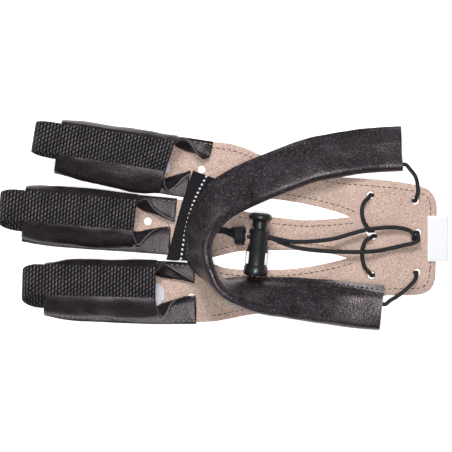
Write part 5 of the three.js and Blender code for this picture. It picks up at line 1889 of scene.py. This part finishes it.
@dataclass
class Liner:
    """Pale pad whose end shows in a stall's mouth."""

    finger: Finger
    shift: float
    width: float
    past: float

    def build(self, palette: Palette) -> None:
        """Makes the pad.

        Args:
            palette: The materials.
        """
        middle = self.shift * STALL_WIDTH / 2
        level = PANEL_WALL + GAP + LINER_WALL / 2
        points = []
        for i in range(31):
            share = i / 30
            half = self.width / 2 * math.sqrt(max(0.12, 1 - max(0.0, (share - 0.75) / 0.25) ** 2))
            for j in range(9):
                s = STALL_LENGTH + self.past - LINER_LENGTH * (1 - share)
                points.append(on_finger(self.finger, s, middle + (j / 4 - 1) * half, level))
        pad = make_object(f"liner_{self.finger.name}_pad", points, grid_faces(31, 9))
        palette.dress(pad, Finish.FELT)
        close_shell(pad, LINER_WALL, 0.2)
        smooth(pad, 50)
        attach(pad, "glove")
        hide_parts(f"liner_{self.finger.name}")
        log.info("liner %s", self.finger.name)


@dataclass
class WristSleeve:
    """Padded leather sleeve bent into a U, hollow for the cord."""

    steps: int = 6

    @staticmethod
    def ring(frame: SleeveFrame, inset: float) -> list[Vector]:
        """Section of the sleeve's outer or inner skin, with the same number of points in both.

        Args:
            frame: The station.
            inset: How far in from the outer skin.

        Returns:
            The ring's points.
        """
        start = SEAM_MARGIN if inset else 0.0
        radius = SLEEVE_DEPTH / 2
        side = []
        for i in range(17):
            w = start + (1 - start) * i / 16
            depth = column(SLEEVE_SECTION, "w", "depth", w)
            side.append((w * frame.span, max(0.3, depth * radius - inset)))
        fold = []
        for i in range(1, 12):
            turn = math.pi / 2 - math.pi * i / 12
            fold.append((frame.span + (radius - inset) * math.cos(turn), (radius - inset) * math.sin(turn)))
        back = [(w, -n) for w, n in reversed(side)]
        return [frame.at(w, n) for w, n in (*side, *fold, *back)]

    def build(self, palette: Palette) -> None:
        """Makes the sleeve and its seam.

        Args:
            palette: The materials.
        """
        frames = sleeve_frames(self.steps)
        outer = [self.ring(frame, 0.0) for frame in frames]
        inner = [self.ring(frame, SLEEVE_WALL) for frame in frames]
        size, count = len(outer[0]), len(frames)
        points = [p for ring in (*outer, *inner) for p in ring]
        faces = grid_faces(count, size, closed=True)
        faces += [face[::-1] for face in grid_faces(count, size, count * size, True)]
        for ring, flip in ((0, False), (count - 1, True)):
            for j in range(size):
                a, b = ring * size + j, ring * size + (j + 1) % size
                quad = (a, b, b + count * size, a + count * size)
                faces.append(quad[::-1] if flip else quad)
        sleeve = make_object("wrist_strap_leather", points, faces)
        outward(sleeve)
        ruffle(sleeve, 0.40, (17.0, 8.0, 9.0), 3)
        palette.dress(sleeve, Finish.SLEEVE_LEATHER)
        smooth(sleeve, 60)
        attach(sleeve, "glove")
        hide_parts("wrist_strap")
        self.build_seam(palette, frames)
        log.info("wrist sleeve: %d faces", len(sleeve.data.polygons))

    def build_seam(self, palette: Palette, frames: Sequence[SleeveFrame]) -> None:
        """Sews the seam a little inside the sleeve's edge.

        Args:
            palette: The materials.
            frames: The sleeve's stations.
        """
        w = 1.7
        depth = column(SLEEVE_SECTION, "w", "depth", w / frames[0].span) * SLEEVE_DEPTH / 2 + 0.02
        lines = tuple(tuple(frame.at(w, side * depth) for frame in frames[2:-2]) for side in (1, -1))
        sewn = StitchRun("sleeve_seam_stitching", lines, 2.3, 1.7, 0.6, Finish.BLACK_THREAD).build(palette)
        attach(sewn, "glove")


@dataclass
class KeeperTape:
    """Woven tape across the finger bases."""

    rows: int = 40
    columns: int = 8

    def build(self, palette: Palette) -> None:
        """Makes the tape.

        Args:
            palette: The materials.
        """
        edge = smooth_run(TAPE_ROWS, self.rows // (len(TAPE_ROWS) - 1))
        points, values, run = [], [], 0.0
        for i, place in enumerate(edge):
            heading = (edge[min(i + 1, len(edge) - 1)] - edge[max(i - 1, 0)]).normalized()
            k = i / (len(edge) - 1) * (len(TAPE_ROWS) - 1)
            ends = [column(TAPE_ROWS, "", key, k) for key in ("rest", "tucked")]
            run += (place - edge[i - 1]).length if i else 0.0
            for j in range(self.columns + 1):
                w = j / self.columns
                y = max(place.y + heading.x * w * TAPE_WIDTH, TAPE_END * GLOVE_WIDTH)
                level = (ends[0] + (ends[1] - ends[0]) * w) * (PANEL_WALL + GAP) + TAPE_WALL / 2
                points.append((place.x - heading.y * w * TAPE_WIDTH, y, level))
                values.append((run, w * TAPE_WIDTH))
        tape = make_object("keeper_tape_cloth", points, grid_faces(len(edge), self.columns + 1))
        set_uv(tape, values)
        palette.dress(tape, Finish.TAPE)
        close_shell(tape, TAPE_WALL, 0.2)
        smooth(tape, 50)
        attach(tape, "glove")
        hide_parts("keeper_tape")
        log.info("keeper tape")


@dataclass
class SizeLabel:
    """Small folded label at the wrist end, left bare."""

    rows: int = 14

    def build(self, palette: Palette) -> None:
        """Makes the label.

        Args:
            palette: The materials.
        """
        fold = LABEL_WALL * 1.2
        line = [(p.x * GLOVE_LENGTH, 0.0) for p in LABEL_TOP]
        tip = line[-1][0]
        line += [(tip + fold * math.sin(math.pi * i / 6), fold * (1 - math.cos(math.pi * i / 6))) for i in range(1, 7)]
        line.append((LABEL_TOP[2].x * GLOVE_LENGTH, 2 * fold))
        points, values, run = [], [], 0.0
        for i, (x, drop) in enumerate(line):
            run += math.hypot(x - line[i - 1][0], drop - line[i - 1][1]) if i else 0.0
            for j in range(self.rows + 1):
                y = (LABEL_START + (LABEL_END - LABEL_START) * j / self.rows) * GLOVE_WIDTH
                level = lift(x, y) + PANEL_WALL + 1.4 * GAP + LABEL_WALL / 2 - drop
                points.append((x, y, level))
                values.append((run, y))
        label = make_object("size_label_cloth", points, grid_faces(len(line), self.rows + 1))
        set_uv(label, values)
        palette.dress(label, Finish.LABEL)
        close_shell(label, LABEL_WALL, 0.12)
        smooth(label, 50)
        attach(label, "glove")
        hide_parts("size_label")
        log.info("size label")


@dataclass
class CordLock:
    """Moulded cord lock: barrel and sprung plunger, turned about the Y axis and then put in place."""

    x: float = 0.0729
    y: float = -0.0707
    turn: float = -5.4
    radius: float = 5.8
    neck: float = 4.8
    bore: float = 3.8
    tail: float = 2.9
    travel: float = 3.4
    clearance: float = 0.3
    top: float = 5.6
    step: float = -4.4
    foot: float = -17.0
    collar: float = -12.3
    bore_foot: float = -9.6
    button_top: float = 13.3
    flange: float = 9.7
    button: float = 5.7
    eye_length: float = 6.0
    eye_depth: float = 4.9
    sides: int = 56

    def turned(self, name: str, profile: Sequence[tuple[float, float]]) -> bpy.types.Object:
        """Solid of revolution about Y from pairs of radius and place along it; both ends are on the axis.

        Args:
            name: Its name.
            profile: Pairs of radius and place.

        Returns:
            The solid.
        """
        rings = profile[1:-1]
        points = [Vector((0, profile[0][1], 0)), Vector((0, profile[-1][1], 0))]
        for r, a in rings:
            points += [Vector((r * math.sin(math.tau * j / self.sides), a, r * math.cos(math.tau * j / self.sides)))
                       for j in range(self.sides)]
        faces = grid_faces(len(rings), self.sides, 2, True)
        for pole, ring in ((0, 0), (1, len(rings) - 1)):
            for j in range(self.sides):
                a, b = 2 + ring * self.sides + j, 2 + ring * self.sides + (j + 1) % self.sides
                faces.append((pole, a, b))
        piece = make_object(name, points, faces)
        outward(piece)
        return piece

    @staticmethod
    def block(low: tuple[float, float, float], high: tuple[float, float, float]) -> bpy.types.Object:
        """Cutting block between two corners.

        Args:
            low: Its lowest corner.
            high: Its highest corner.

        Returns:
            The block.
        """
        points = [(x, y, z) for x in (low[0], high[0]) for y in (low[1], high[1]) for z in (low[2], high[2])]
        faces = [(0, 1, 3, 2), (4, 6, 7, 5), (0, 4, 5, 1), (2, 3, 7, 6), (0, 2, 6, 4), (1, 5, 7, 3)]
        piece = make_object("cutter", points, faces)
        outward(piece)
        return piece

    def cut(self, piece: bpy.types.Object, cutters: Sequence[bpy.types.Object]) -> None:
        """Cuts blocks out of a piece, softens its edges and moves it to its place.

        Args:
            piece: The piece.
            cutters: The blocks, which are removed.
        """
        for cutter in cutters:
            modifier = piece.modifiers.new("cut", "BOOLEAN")
            modifier.operation, modifier.object, modifier.solver = "DIFFERENCE", cutter, "EXACT"
        bevel = piece.modifiers.new("edge", "BEVEL")
        bevel.width, bevel.segments, bevel.limit_method = 0.18 * MM, 2, "ANGLE"
        bevel.angle_limit = math.radians(50)
        bake(piece)
        for cutter in cutters:
            bpy.data.objects.remove(cutter)
        turn = math.radians(self.turn)
        place = Vector((self.x * GLOVE_LENGTH, self.y * GLOVE_WIDTH, PANEL_WALL + GAP + self.radius)) * MM
        for point in piece.data.vertices:
            x, y, z = point.co
            flat = (x * math.cos(turn) - y * math.sin(turn), x * math.sin(turn) + y * math.cos(turn))
            point.co = Vector((*flat, z)) + place
        piece.data.update()
        smooth(piece, 32)

    def build(self, palette: Palette) -> None:
        """Makes the barrel and the button.

        Args:
            palette: The materials.
        """
        r, n = self.radius, self.neck
        profile = [(0, self.foot), (r - 1.6, self.foot), (r - 0.8, self.foot + 0.25), (r - 0.25, self.foot + 0.8),
                   (r, self.foot + 1.7), (r, self.collar - 0.3), (r - 0.15, self.collar), (r - 0.45, self.collar + 0.2),
                   (r - 0.4, self.step - 0.9), (n + 0.25, self.step - 0.2), (n, self.step + 0.3),
                   (n, self.top - 1.1), (n - 0.3, self.top - 0.35), (n - 0.7, self.top),
                   (self.bore, self.top), (self.bore, self.step), (self.tail, self.step),
                   (self.tail, self.bore_foot), (0, self.bore_foot)]
        barrel = self.turned("lock_barrel_moulding", profile)
        half = self.eye_length / 2
        cutters = [self.block((-8, -half, -self.eye_depth / 2), (8, half, self.eye_depth / 2))]
        for side in (-1, 1):
            near, far = side * 4.45 - 0.55, side * 4.45 + 0.55
            cutters.append(self.block((near, self.collar + 0.9, -8), (far, self.step - 1.2, 8)))
        self.cut(barrel, cutters)
        stem = self.bore - self.clearance
        up = self.step + self.travel + self.clearance
        low = self.bore_foot + self.travel + self.clearance
        b, flange, crown = self.button, self.flange, self.button_top
        profile = [(0, low), (self.tail - self.clearance, low), (self.tail - self.clearance, up), (stem, up),
                   (stem, flange - 1.2), (stem + 0.35, flange - 0.4), (b - 1.1, flange + 0.1), (b - 0.35, flange + 0.5),
                   (b, flange + 1.2), (b, crown - 1.7), (b - 0.3, crown - 0.9), (b - 1.0, crown - 0.35),
                   (b - 2.0, crown - 0.05), (b - 3.2, crown), (0, crown - 0.25)]
        button = self.turned("lock_button_moulding", profile)
        shift = self.travel
        window = self.block((-8, shift - half, -self.eye_depth / 2), (8, shift + half, self.eye_depth / 2))
        self.cut(button, [window])
        for piece, node, body in ((barrel, "lock_barrel", "glove"), (button, "lock_button", "button")):
            palette.dress(piece, Finish.PLASTIC)
            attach(piece, body)
            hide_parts(node)
        log.info("cord lock")


def main() -> None:
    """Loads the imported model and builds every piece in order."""
    logging.basicConfig(level=logging.INFO, format="%(name)s: %(message)s")
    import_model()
    Studio().build()
    palette = Palette()
    Drawcord().build(palette)
    PalmPanel().build(palette)
    for finger in FINGERS:
        FingerStall(finger).build(palette)
    Liner(FINGERS[0], -0.10, 10.0, 1.2).build(palette)
    Liner(FINGERS[2], -0.07, 12.6, 4.2).build(palette)
    WristSleeve().build(palette)
    KeeperTape().build(palette)
    SizeLabel().build(palette)
    CordLock().build(palette)


if __name__ == "__main__":
    main()
